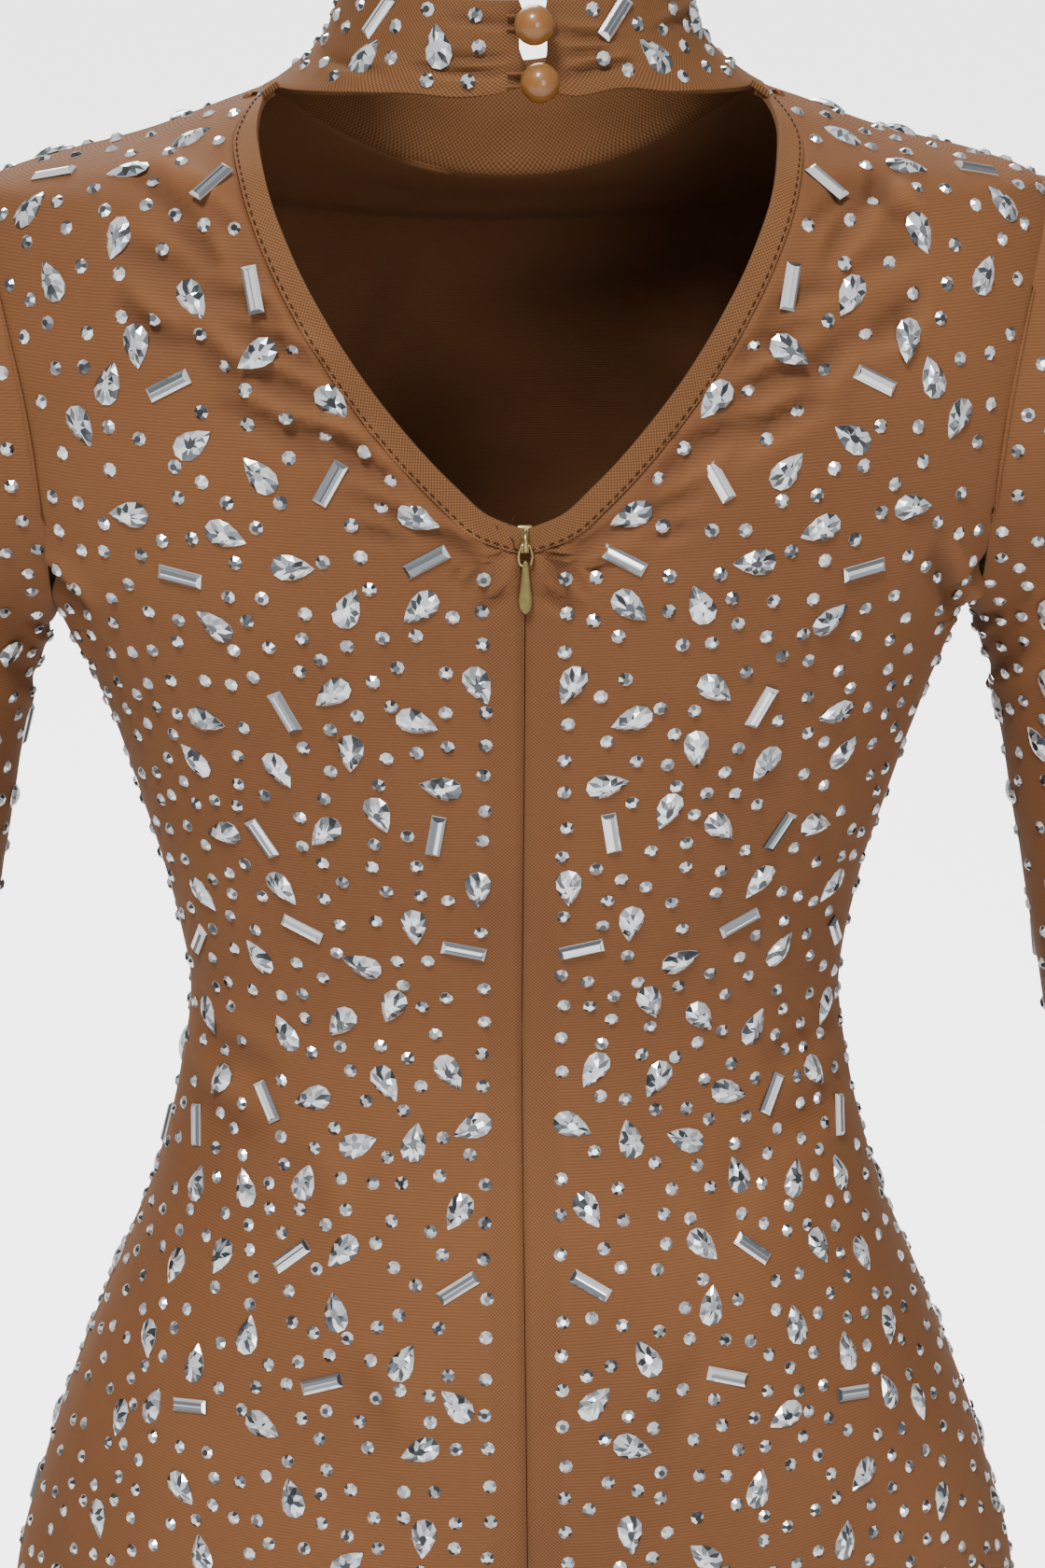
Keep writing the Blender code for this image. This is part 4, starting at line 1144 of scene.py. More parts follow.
# %% [markdown]
# Where the band is sewn off above the zip, three cut ends of thread stand out of the cloth. Each is a
# thin wire that rises, bends aside and ends in the air, charted by the place of its root in the picture.
# %% Cut thread ends at the top of the zip
ThreadEnd = namedtuple("ThreadEnd", "across down to_right to_bottom")
THREAD_ENDS = (ThreadEnd(540, 566, 10, -14), ThreadEnd(533, 571, -6, -12), ThreadEnd(545, 574, 5, 13))
PIXEL, THREAD_BEND, THREAD_ROOT, THREAD_RISE, THREAD_TIP = 0.0003, 0.0009, 0.0006, 0.0005, 0.0007
THREAD_END_RADIUS = 0.00016
loose = bmesh.new()
for end in THREAD_ENDS:
    root, root_out = on_cloth(*seen_at(end.across, end.down))
    lifted = root + root_out * (BINDING_PROUD + THREAD_LIFT)
    reach = (view_right * end.to_right - view_up * end.to_bottom) * PIXEL
    middle = lifted + reach * 0.5 + view_right * THREAD_BEND + root_out * THREAD_RISE
    route = [lifted - root_out * THREAD_ROOT, middle, lifted + reach + root_out * THREAD_TIP]
    add_wire(loose, rounded_route(route, 5), THREAD_END_RADIUS, 6)
thread_ends = add_mesh("thread_ends", loose)
print(len(THREAD_ENDS), "thread ends")

# %% [markdown]
# ## Cutting the stones
#
# Three cuts cover the dress: small rounds, drops and baguettes, flat-backed and foiled. A stone could
# be a smooth dome with a painted pattern, but what makes it sparkle is flat facets that each catch
# another light. So an outline is pushed up in steps, each narrower than the one below. A drop's steps
# are also turned half a facet each, and the triangles between them are joined in pairs into diamonds.
# %% One stone from its outline
Step = namedtuple("Step", "rise narrow_x narrow_y twist")


def facet_place(face):
    """One number that orders a stone's facets by where they lie, so that every run has the same order."""
    x, y, z = (round(value * 1000000) for value in face.calc_center_median())
    return (z * 100000 + y) * 100000 + x


def cut_stone(name, sides, outline, steps):
    """Pushes an outline up in steps. Each gives its rise, how much it narrows and its twist in facets."""
    stone = bmesh.new()
    place = stone.verts.layers.float.new("place")
    ring = bmesh.ops.create_circle(stone, cap_ends=True, segments=sides, radius=1.0)["verts"]
    for vertex in ring:
        vertex[place] = math.atan2(vertex.co.y, vertex.co.x)
        x, y = outline(vertex[place])
        vertex.co = (x, y, 0.0)
    top = stone.faces[:][0]
    height = 0.0
    for rise, narrow_x, narrow_y, twist in steps:
        below = top
        pushed = bmesh.ops.extrude_face_region(stone, geom=[below])["geom"]
        top = next(item for item in pushed if isinstance(item, bmesh.types.BMFace))
        if height > 0:
            bmesh.ops.delete(stone, geom=[below], context="FACES_ONLY")
        height += rise
        for vertex in top.verts:
            vertex[place] += twist * math.pi / sides
            x, y = outline(vertex[place])
            vertex.co = (x * narrow_x, y * narrow_y, height)
    if any(step.twist for step in steps):
        bmesh.ops.triangulate(stone, faces=[face for face in stone.faces if len(face.verts) == 4])
        level = [edge for edge in stone.edges if edge.verts[0].co.z == edge.verts[1].co.z]
        middle = [edge for edge in level if steps[0].rise * 1.01 < edge.verts[0].co.z < height * 0.99]
        bmesh.ops.dissolve_edges(stone, edges=middle, use_verts=False)
    bmesh.ops.recalc_face_normals(stone, faces=stone.faces[:])
    if stone.calc_volume(signed=True) < 0:
        bmesh.ops.reverse_faces(stone, faces=stone.faces[:])
    stone.verts.layers.float.remove(place)
    stone.faces.sort(key=facet_place)
    mesh = bpy.data.meshes.new(name)
    stone.to_mesh(mesh)
    open_edges = sum(not edge.is_manifold for edge in stone.edges)
    stone.free()
    triangles = sum(len(face.vertices) - 2 for face in mesh.polygons)
    print(name, triangles, "triangles,", open_edges, "open edges")
    return mesh


print("a stone is cut in steps of", Step._fields)

# %% The three cuts
ROUND_RADIUS, DROP_LONG, DROP_WIDE, DROP_POINT = 0.0023, 0.0069, 0.0054, 0.9
BAGUETTE_LONG, BAGUETTE_WIDE = 0.00725, 0.00235


def round_outline(angle):
    return ROUND_RADIUS * math.cos(angle), ROUND_RADIUS * math.sin(angle)


def drop_outline(angle):
    narrowed = abs(math.sin(angle / 2)) ** DROP_POINT
    return DROP_LONG * math.cos(angle), DROP_WIDE * math.sin(angle) * narrowed


def baguette_outline(angle):
    corner = angle + math.pi / 4
    return math.copysign(BAGUETTE_LONG, math.cos(corner)), math.copysign(BAGUETTE_WIDE, math.sin(corner))


ROUND_STEPS = (Step(0.0003, 1, 1, 0), Step(0.0010, 0.48, 0.48, 0))
DROP_STEPS = (Step(0.0004, 1, 1, 0), Step(0.0011, 0.66, 0.66, 1), Step(0.0006, 0.28, 0.28, 1))
BAGUETTE_STEPS = (Step(0.0006, 1, 1, 0), Step(0.0009, 0.87, 0.60, 0), Step(0.0003, 0.83, 0.10, 0))
round_stone = cut_stone("round_stone", 8, round_outline, ROUND_STEPS)
drop_stone = cut_stone("drop_stone", 12, drop_outline, DROP_STEPS)
baguette_stone = cut_stone("baguette_stone", 4, baguette_outline, BAGUETTE_STEPS)

# %% [markdown]
# ## Charting the big stones
#
# The drops and baguettes lie in a loose scatter, alike on both sides of the back. They are charted one
# by one for one side, across and down the picture, with the way that each points in degrees from the
# right, and the other side mirrors them.
# %% Big stones of one side of the back
Stone = namedtuple("Stone", "across down way")
DROPS = (
    Stone(205, 148, 50), Stone(137, 183, 178), Stone(32, 224, 38), Stone(126, 255, 250),
    Stone(55, 301, 118), Stone(207, 322, 298), Stone(146, 371, 272), Stone(276, 381, 212),
    Stone(116, 411, 65), Stone(87, 457, 295), Stone(357, 432, 308), Stone(207, 475, 32),
    Stone(278, 509, 130), Stone(138, 551, 185), Stone(449, 555, 335), Stone(242, 573, 340),
    Stone(314, 608, 0), Stone(229, 670, 135), Stone(373, 652, 68), Stone(450, 652, 225),
    Stone(513, 735, 292), Stone(356, 743, 222), Stone(447, 774, 338), Stone(221, 772, 0),
    Stone(209, 814, 128), Stone(376, 807, 262), Stone(299, 825, 293), Stone(472, 844, 168),
    Stone(406, 873, 285), Stone(348, 892, 230), Stone(240, 892, 200), Stone(512, 953, 268),
    Stone(303, 952, 300), Stone(219, 958, 320), Stone(444, 993, 270), Stone(277, 1025, 118),
    Stone(388, 1034, 158), Stone(421, 1078, 248), Stone(366, 1095, 232), Stone(306, 1107, 112),
    Stone(225, 1087, 300), Stone(414, 1161, 298), Stone(482, 1149, 300), Stone(238, 1157, 215),
    Stone(335, 1177, 195), Stone(384, 1226, 20), Stone(444, 1224, 78), Stone(506, 1208, 205),
    Stone(211, 1267, 60), Stone(263, 1272, 105), Stone(325, 1267, 68), Stone(491, 1299, 240),
    Stone(237, 1346, 238), Stone(188, 1356, 235), Stone(367, 1341, 225), Stone(360, 1406, 98),
    Stone(266, 1430, 80), Stone(160, 1434, 285), Stone(209, 1460, 80), Stone(432, 1460, 62),
    Stone(489, 1506, 135), Stone(281, 1528, 335), Stone(128, 1519, 250), Stone(164, 1505, 55),
    Stone(450, 1555, 200), Stone(195, 1595, 320), Stone(313, 1605, 102), Stone(105, 1627, 290),
    Stone(454, 1649, 265), Stone(216, 1665, 98), Stone(373, 1676, 40),
)
BAGUETTES = (
    Stone(58, 187, 156), Stone(228, 199, 55), Stone(272, 311, 100), Stone(181, 413, 25),
    Stone(354, 518, 60), Stone(457, 602, 30), Stone(193, 618, 173), Stone(305, 763, 108),
    Stone(281, 898, 112), Stone(467, 895, 80), Stone(324, 995, 157), Stone(497, 1019, 166),
    Stone(214, 1006, 35), Stone(287, 1180, 117), Stone(211, 1205, 95), Stone(313, 1346, 33),
    Stone(491, 1380, 32), Stone(345, 1483, 14), Stone(204, 1506, 0),
)
COLLAR_DROPS = (Stone(470, 49, 95), Stone(391, 61, 35), Stone(702, 60, 150), Stone(744, 22, 60))
COLLAR_BAGUETTES = (Stone(405, 17, 35), Stone(659, 19, 55))
print(len(DROPS), "drops and", len(BAGUETTES), "baguettes on each side of the back")

# %% [markdown]
# ## Setting the stones
#
# Every stone sits on the cloth, along its normal, sunk a tenth of a millimetre so that no light shows
# under it. A small grid of cells remembers where stones are, so that the next one keeps its distance.
# %% Places taken, and places on the cloth
CELL, WIDEST_ROOM = 0.012, 0.010


class Taken:
    """Remembers stones by cell, and says whether a new one is clear of them."""

    def __init__(self):
        self.cells = {}

    def cell(self, point):
        return tuple(int(math.floor(value / CELL)) for value in point)

    def add(self, point, room):
        self.cells.setdefault(self.cell(point), []).append((point.copy(), room))

    def clear(self, point, room):
        reach = int(math.ceil(max(room, WIDEST_ROOM) / CELL))
        cx, cy, cz = self.cell(point)
        for i in range(cx - reach, cx + reach + 1):
            for j in range(cy - reach, cy + reach + 1):
                for k in range(cz - reach, cz + reach + 1):
                    for other, other_room in self.cells.get((i, j, k), ()):
                        if (other - point).length < max(room, other_room):
                            return False
        return True


taken = Taken()
set_stones = {"back": [], "front": [], "collar": [], "skirt": [], "sleeve_left": [], "sleeve_right": []}
SUNK, BAGUETTE_ENDS = 0.0001, 0.0042
ROUND_ROOM, DROP_ROOM, BAGUETTE_ROOM, ROW_ROOM, COLLAR_ROOM = 0.0084, 0.0092, 0.0074, 0.0062, 0.0074


def set_stone(group, pattern, point, out, way):
    set_stones[group].append((pattern, standing_on(point - out * SUNK, out, way)))
    along = way - out * way.dot(out)
    along.normalize()
    if pattern is baguette_stone:
        taken.add(point + along * BAGUETTE_ENDS, BAGUETTE_ROOM)
        taken.add(point - along * BAGUETTE_ENDS, BAGUETTE_ROOM)
    else:
        taken.add(point, DROP_ROOM if pattern is drop_stone else ROUND_ROOM)


def picture_way(degrees, mirror):
    angle = math.radians(degrees)
    way = view_right * math.cos(angle) + view_up * math.sin(angle)
    return Vector((way.x * mirror, way.y, way.z))


for pattern, chart in ((drop_stone, DROPS), (baguette_stone, BAGUETTES)):
    for stone in chart:
        turn, height = seen_at(stone.across, stone.down)
        for mirror in (1, -1):
            point, out = on_cloth(turn * mirror, height)
            set_stone("back", pattern, point, out, picture_way(stone.way, mirror))
for pattern, chart in ((drop_stone, COLLAR_DROPS), (baguette_stone, COLLAR_BAGUETTES)):
    for stone in chart:
        turn, height = seen_at(stone.across, stone.down)
        risen = COLLAR_BACK_RISE * math.cos(math.radians(turn)) ** 2
        point, out = on_collar(turn, (height - risen) / (1 - risen / COLLAR_HEIGHT))
        set_stone("collar", pattern, point, out, picture_way(stone.way, 1))
print("charted stones set", {group: len(placed) for group, placed in set_stones.items() if placed})

# %% [markdown]
# Small rounds line both sides of the zip and the outside of each band, evenly. The rest fill the cloth
# by a rule: a place is tried at random, and kept if it is clear of every stone so far. Below the hips
# the room round each stone grows, so the scatter thins towards the hem.
# %% Rows of rounds beside the zip and the bands
ZIP_ROW_TOP, ZIP_ROW_END, ZIP_ROW_ASIDE, ZIP_ROW_PITCH = -0.1375, -0.62, 0.0130, 0.0118
BAND_ROW_START, BAND_ROW_STOP, BAND_ROW_SHARE, BAND_ROW_PITCH = 0.006, 0.022, -0.62, 0.0126
ASIDE_WANDER, PITCH_WANDER, ROW_SEED = 0.0009, 0.0016, 7
UPWARDS = Vector((0, 0, 1))


def set_in_row(point, out):
    if taken.clear(point, ROW_ROOM):
        set_stone("back", round_stone, point, out, UPWARDS)


unevenness = random.Random(ROW_SEED)
for side in (1, -1):
    height = ZIP_ROW_TOP
    while height > ZIP_ROW_END:
        aside = ZIP_ROW_ASIDE + unevenness.uniform(-ASIDE_WANDER, ASIDE_WANDER)
        set_in_row(*on_cloth(side * turn_at(aside, height), height))
        height -= ZIP_ROW_PITCH + unevenness.uniform(-PITCH_WANDER, PITCH_WANDER)
    wanted = BAND_ROW_START
    for row in range(BAND_ROWS):
        if wanted < band_lengths[row] < band_lengths[-1] - BAND_ROW_STOP:
            wanted += BAND_ROW_PITCH
            point, out = on_band(BAND_ROW_SHARE, row, side)
            set_in_row(point - out * BINDING_PROUD, out)
print("rounds in rows", len(set_stones["back"]) - 2 * (len(DROPS) + len(BAGUETTES)))


# %% Room for stones over the dress
UPPER_EXTRA, UPPER_TOP, UPPER_FADE = 0.16, -0.07, 0.10
SKIRT_EXTRA, SKIRT_TOP, SKIRT_FADE = 3.4, -0.47, 0.62
COLLAR_MARGIN, ARMPIT_MARGIN, ARMHOLE_TURNS, BAND_MARGIN = 0.006, 0.004, 2.5, 0.0045
ABOVE_ZIP, CLEAR_OF_PULL, CLEAR_OF_ROWS, CLEAR_OF_SEAM = 0.012, 0.0125, 0.0165, 0.010
INSIDE_MARGIN, SCATTER_SEED = 0.001, 41


def thinning(height):
    """How much wider apart stones lie at a height than on the back."""
    upper = UPPER_EXTRA * faded((UPPER_TOP - height) / UPPER_FADE)
    return 1 + upper + SKIRT_EXTRA * (1 - faded((SKIRT_TOP - height) / SKIRT_FADE))


def clear_of_keyhole(x, height):
    seams = [seam for _, seam in band_places[::6]]
    nearest = min(math.hypot(x - at_x, height - at_height) for at_x, at_height in seams)
    inside = any(x < at_x + INSIDE_MARGIN and height > at_height - INSIDE_MARGIN for at_x, at_height in seams)
    return nearest > BAND_MARGIN and not inside and x > CLEAR_OF_PULL


def is_body_cloth(turn, height):
    if height > NECK_EDGE - COLLAR_MARGIN:
        return False
    under_sleeve = 90 - armhole_turn(height) + ARMHOLE_TURNS
    if ARMPIT - ARMPIT_MARGIN < height < SHOULDER_TIP and abs(abs(turn) - 90) < under_sleeve:
        return False
    if abs(turn) >= 90:
        return True
    x = abs(on_form(turn, height).x)
    if height > ZIP_TOP - ABOVE_ZIP:
        return clear_of_keyhole(x, height)
    return x >= (CLEAR_OF_ROWS if height > HIPS else CLEAR_OF_SEAM)


chance = random.Random(SCATTER_SEED)
print("a place low on the side is cloth:", is_body_cloth(80, HIPS))

# %% Scatter over the body
LOWEST_STONE, HIGHEST_STONE, CHARTED_DOWN_TO, BAGUETTE_CHANCE = HEM + 0.03, -0.008, -0.515, 0.2
BIG_ROOM, BIG_TRIES, SMALL_TRIES = 0.0205, 9000, 42000
SIDE_TURNS, SIDE_EXTRA, BELOW_ARMPIT = 24, 1.3, 0.03


def any_way(out):
    angle = chance.uniform(0, math.tau)
    return out.orthogonal() * math.cos(angle) + out.cross(out.orthogonal()) * math.sin(angle)


def room_at(turn, height):
    beside = height < ARMPIT - BELOW_ARMPIT and abs(abs(turn) - 90) < SIDE_TURNS
    return thinning(height) * (SIDE_EXTRA if beside else 1.0)


def scatter_body(pattern_of, tries, room, charted_down_to):
    kept = 0
    for _ in range(tries):
        turn, height = chance.uniform(-180, 180), chance.uniform(LOWEST_STONE, HIGHEST_STONE)
        if not is_body_cloth(turn, height):
            continue
        point = on_form(turn, height)
        if abs(turn) < 90 and point.z > charted_down_to:
            continue
        if not taken.clear(point, room * room_at(turn, height)):
            continue
        point, out = on_cloth(turn, height)
        group = "skirt" if height < HIPS else "back" if abs(turn) < 90 else "front"
        way = any_way(out)
        set_stone(group, pattern_of(), point, out, way)
        kept += 1
    return kept


def big_pattern():
    return baguette_stone if chance.random() < BAGUETTE_CHANCE else drop_stone


big = scatter_body(big_pattern, BIG_TRIES, BIG_ROOM, CHARTED_DOWN_TO)
small = scatter_body(lambda: round_stone, SMALL_TRIES, ROUND_ROOM, COLLAR_HEIGHT)
print("scattered by rule on the body:", big, "big and", small, "round")

# %% Stones on the collar and the sleeves
COLLAR_TRIES, COLLAR_LOW, COLLAR_HIGH = 2500, 0.0042, COLLAR_HEIGHT - 0.0034
BARE_RIGHT, BARE_LEFT = COLLAR_GAP_RIGHT - 0.012, 0.009
Scatter = namedtuple("Scatter", "room tries pattern_of")
SLEEVE_SCATTERS = (Scatter(0.022, 1500, big_pattern), Scatter(0.0088, 9000, lambda: round_stone))
FIRST_PLACE, LAST_PLACE = 0.45, LAST_RING - 0.5
THINNING_FROM, THINNING_OVER, SLEEVE_EXTRA = 5.5, 6, 1.3

for _ in range(COLLAR_TRIES):
    turn, height = chance.uniform(-180, 180), chance.uniform(COLLAR_LOW, COLLAR_HIGH)
    point, out = on_collar(turn, height)
    if BARE_RIGHT < point.x < BARE_LEFT and abs(turn) < 90:
        continue
    if taken.clear(point, COLLAR_ROOM):
        set_stone("collar", round_stone, point, out, UPWARDS)

for side, group in ((1, "sleeve_left"), (-1, "sleeve_right")):
    for scatter in SLEEVE_SCATTERS:
        for _ in range(scatter.tries):
            s, angle = chance.uniform(FIRST_PLACE, LAST_PLACE), chance.uniform(0, math.tau)
            apart = scatter.room * (1 + SLEEVE_EXTRA * (1 - faded((s - THINNING_FROM) / THINNING_OVER)))
            point, out, _ = on_sleeve(s, angle)
            point, out = to_side(point, side), to_side(out, side)
            if not taken.clear(point, apart):
                continue
            way = any_way(out)
            set_stone(group, scatter.pattern_of(), point, out, way)
print("stones on", {group: len(placed) for group, placed in set_stones.items()})

# %% [markdown]
# The copies are joined into one piece for each part of the dress. Each facet then gets a random shade
# of its own, a painted reflection: it stands in for the bright and dark facets that a foiled stone shows
# as it mirrors the lights round it.
# %% Join the stones and shade their facets
LARGE_FACET, PALE_CHANCE, FIRST_SEED = 0.000009, 0.55, 3
PALE_SHADES, GREY_SHADES = (0.85, 1.0), (0.20, 0.36)


def paint_facet_reflections(piece, seed):
    """Paints a random reflection shade on every facet. A baguette's long facets, the largest, get a painted
    pale or grey streak.
    """
    shades = random.Random(seed)
    facet = piece.data.attributes.new("facet", "FLOAT", "FACE")
    values = []
    for face in piece.data.polygons:
        # Painted reflections: a random shade for each facet, and a pale or grey painted streak on long
        # facets.
        long_facet = face.area > LARGE_FACET
        pale = shades.random() < PALE_CHANCE
        streak = shades.uniform(*(PALE_SHADES if pale else GREY_SHADES))
        values.append(streak if long_facet else shades.random())
    facet.data.foreach_set("value", values)


stone_pieces = {}
for seed, (group, placed) in enumerate(set_stones.items(), FIRST_SEED):
    stone_pieces[group] = join_copies("stones_" + group, placed)
    paint_facet_reflections(stone_pieces[group], seed)
print(sum(len(placed) for placed in set_stones.values()), "stones in all")

# %% [markdown]
# ## Finishes
#
# Every material is procedural. The first helper adds a node and links what goes into it, which keeps
# the graphs short enough to read.
# %% Helpers for node graphs
def add_node(tree, kind, inputs=(), **settings):
    """inputs are (socket name or number, value or output socket)."""
    node = tree.nodes.new(kind)
    for name, value in settings.items():
        setattr(node, name, value)
    for socket, value in inputs:
        if isinstance(value, bpy.types.NodeSocket):
            tree.links.new(value, node.inputs[socket])
        else:
            node.inputs[socket].default_value = value
    return node


def math_node(tree, operation, first, second=0.0, third=0.0, clamp=False):
    inputs = ((0, first), (1, second), (2, third))
    return add_node(tree, "ShaderNodeMath", inputs, operation=operation, use_clamp=clamp).outputs[0]


def scaled(tree, value, factor, plus, clamp=False):
    return math_node(tree, "MULTIPLY_ADD", value, factor, plus, clamp)


def mix_colors(tree, share, first, second):
    inputs = (("Factor", share), (6, first), (7, second))
    return add_node(tree, "ShaderNodeMix", inputs, data_type="RGBA").outputs[2]


def noise_at(tree, where, scale, detail):
    inputs = (("Vector", where), ("Scale", scale), ("Detail", detail))
    return add_node(tree, "ShaderNodeTexNoise", inputs).outputs[0]


def new_group(name, inputs, outputs):
    group = bpy.data.node_groups.new(name, "ShaderNodeTree")
    for label, kind, value in inputs:
        socket = group.interface.new_socket(label, in_out="INPUT", socket_type=kind)
        if value is not None:
            socket.default_value = value
    for label, kind in outputs:
        group.interface.new_socket(label, in_out="OUTPUT", socket_type=kind)
    return group, group.nodes.new("NodeGroupInput"), group.nodes.new("NodeGroupOutput")


def new_finish(name, **values):
    material = bpy.data.materials.new(name)
    material.use_nodes = True
    shader = material.node_tree.nodes["Principled BSDF"]
    for socket, value in values.items():
        shader.inputs[socket.replace("_", " ")].default_value = value
    return material, material.node_tree, shader


def place_group(nodes, group, values):
    """Places a node group with its own values, given as (socket name, value)."""
    return add_node(nodes, "ShaderNodeGroup", values, node_tree=group)


def link_group(nodes, group, shader, outputs, strength, distance):
    """Links a group's outputs to the shader, and its Height through a Bump node to the Normal."""
    for output, target in outputs:
        nodes.links.new(group.outputs[output], shader.inputs[target])
    inputs = (("Height", group.outputs["Height"]), ("Strength", strength), ("Distance", distance))
    bump = add_node(nodes, "ShaderNodeBump", inputs)
    nodes.links.new(bump.outputs[0], shader.inputs["Normal"])


def finish_all(pieces, material):
    for piece in pieces:
        piece.data.materials.append(material)


print("node helpers ready")

# %% [markdown]
# ### Power mesh
#
# Power mesh is a fine net knitted in rows: level ribs about a millimetre apart with tiny holes between
# the yarns, so the cloth is a little see-through. Along the centre back it is doubled by the zip's
# allowance and looks denser. An image could hold the pattern. Sine waves on the cloth's own UV, in
# metres, stay sharp at any distance and need no file.
# %% Power mesh, as a node group
FLOAT, COLOR, VECTOR = "NodeSocketFloat", "NodeSocketColor", "NodeSocketVector"
DENSE_PITCH = 0.00122
mesh_group, given, result = new_group(
    "power_mesh",
    (
        ("Cloth UV", VECTOR, None),
        ("Yarn Light", COLOR, (0.36, 0.14, 0.05, 1)),
        ("Yarn Dark", COLOR, (0.2, 0.07, 0.02, 1)),
        ("Rib Pitch", FLOAT, 0.00105),
        ("Band Half Width", FLOAT, 0.0),
        ("Openness", FLOAT, 0.35),
        # Crease depth from the cloth's attribute, which paints shade into the troughs and light onto the
        # ridges.
        ("Painted Shade", FLOAT, 0.0),
    ),
    (("Color", COLOR), ("Roughness", FLOAT), ("Alpha", FLOAT), ("Height", FLOAT)),
)
tree = mesh_group
cloth_uv, rib_pitch = given.outputs["Cloth UV"], given.outputs["Rib Pitch"]
parts = add_node(tree, "ShaderNodeSeparateXYZ", ((0, cloth_uv),))
u, v = parts.outputs[0], parts.outputs[1]
wobble = scaled(tree, noise_at(tree, cloth_uv, 55.0, 2.0), 0.0010, -0.0005)
v_drawn = math_node(tree, "ADD", v, wobble)
rib_turns = math_node(tree, "DIVIDE", math_node(tree, "MULTIPLY", v_drawn, math.tau), rib_pitch)
rib = scaled(tree, math_node(tree, "SINE", rib_turns), 0.5, 0.5)
stitch_pitch = math_node(tree, "MULTIPLY", rib_pitch, 0.62)
stitch_turns = math_node(tree, "DIVIDE", math_node(tree, "MULTIPLY", u, math.tau), stitch_pitch)
half_step = scaled(tree, rib_turns, 0.5, stitch_turns)
stitch = scaled(tree, math_node(tree, "SINE", half_step), 0.5, 0.5)
net = scaled(tree, stitch, 0.16, scaled(tree, rib, 0.44, 0.24))
dense_turns = math.tau / DENSE_PITCH
lean_one = math_node(tree, "MULTIPLY", math_node(tree, "ADD", u, v), dense_turns)
lean_two = math_node(tree, "MULTIPLY", math_node(tree, "SUBTRACT", u, v), dense_turns)
crossed = math_node(tree, "ADD", math_node(tree, "SINE", lean_one), math_node(tree, "SINE", lean_two))
dense = scaled(tree, crossed, 0.25, 0.5)
edge_room = math_node(tree, "SUBTRACT", given.outputs["Band Half Width"], math_node(tree, "ABSOLUTE", u))
in_band = scaled(tree, edge_room, 420.0, 0.5, clamp=True)
weave_inputs = (("Factor", in_band), (2, net), (3, dense))
weave = add_node(tree, "ShaderNodeMix", weave_inputs, data_type="FLOAT").outputs[0]
print("weave of ribs, stitches and a denser band")

# %% Colour, painted crease shade and openness of the power mesh
tone = scaled(tree, noise_at(tree, cloth_uv, 9.0, 3.0), 0.5, -0.25)
# Painted shade: the colour is darkened by the crease depth in the troughs and lightened on the ridges.
folded = scaled(tree, given.outputs["Painted Shade"], -0.30, tone)
band_shade = scaled(tree, in_band, -0.06, folded)
grain = scaled(tree, in_band, 0.55, 0.42)
shade = scaled(tree, math_node(tree, "SUBTRACT", weave, 0.5), grain, band_shade)
shade = math_node(tree, "ADD", shade, 0.56, clamp=True)
yarn = mix_colors(tree, shade, given.outputs["Yarn Dark"], given.outputs["Yarn Light"])
hole = math_node(tree, "SUBTRACT", 1.0, weave, clamp=True)
hole = math_node(tree, "MULTIPLY", math_node(tree, "POWER", hole, 2.0), given.outputs["Openness"])
closed_up = math_node(tree, "SUBTRACT", 1.0, math_node(tree, "MULTIPLY", in_band, 0.8))
alpha = math_node(tree, "SUBTRACT", 1.0, math_node(tree, "MULTIPLY", hole, closed_up), clamp=True)
for label, value in (
    ("Color", yarn),
    ("Roughness", scaled(tree, weave, -0.15, 0.85)),
    ("Alpha", alpha),
    ("Height", weave),
):
    tree.links.new(value, result.inputs[label])
print("power mesh group with", len(tree.nodes), "nodes")


# %% [markdown]
# The group is placed in each cloth's material with its own values. Sheen is the pale rim that fine
# knits show when seen along the surface.
# %% Cloth materials
def mesh_finish(name, light, dark, pitch, band, openness):
    material, nodes, shader = new_finish(
        name,
        Sheen_Weight=0.06,
        Sheen_Roughness=0.45,
        Sheen_Tint=(0.9, 0.55, 0.3, 1),
        Specular_IOR_Level=0.2,
    )
    knit = add_node(nodes, "ShaderNodeUVMap", uv_map="cloth")
    # Crease depth on the cloth, read for the painted shade of the troughs and ridges.
    creased = add_node(nodes, "ShaderNodeAttribute", attribute_name="painted_crease_shade")
    values = (
        ("Cloth UV", knit.outputs[0]),
        ("Painted Shade", creased.outputs["Fac"]),
        ("Yarn Light", light),
        ("Yarn Dark", dark),
        ("Rib Pitch", pitch),
        ("Band Half Width", band),
        ("Openness", openness),
    )
    net = place_group(nodes, mesh_group, values)
    outputs = (("Color", "Base Color"), ("Roughness", "Roughness"), ("Alpha", "Alpha"))
    link_group(nodes, net, shader, outputs, 0.35, 0.0002)
    return material


YARN_LIGHT, YARN_DARK = (0.240, 0.099, 0.037, 1), (0.080, 0.031, 0.012, 1)
BAND_LIGHT, BAND_DARK = (0.245, 0.106, 0.038, 1), (0.064, 0.025, 0.009, 1)
caramel_back = mesh_finish("caramel_mesh_back", YARN_LIGHT, YARN_DARK, 0.00105, 0.0125, 0.18)
caramel_mesh = mesh_finish("caramel_mesh_plain", YARN_LIGHT, YARN_DARK, 0.00105, 0.0, 0.18)
caramel_front = mesh_finish("caramel_mesh_front", YARN_LIGHT, YARN_DARK, 0.00105, 0.0, 0.06)
collar_mesh = mesh_finish("caramel_mesh_collar", BAND_LIGHT, BAND_DARK, 0.00095, 0.5, 0.0)
doubled_mesh = mesh_finish("caramel_mesh_doubled", BAND_LIGHT, BAND_DARK, 0.00090, 0.5, 0.0)
finish_all((back_left, back_right), caramel_back)
finish_all((sleeve_left, sleeve_right), caramel_mesh)
finish_all((front,), caramel_front)
finish_all((collar,), collar_mesh)
finish_all((band_left, band_right), doubled_mesh)
print("cloth materials on 8 pieces")

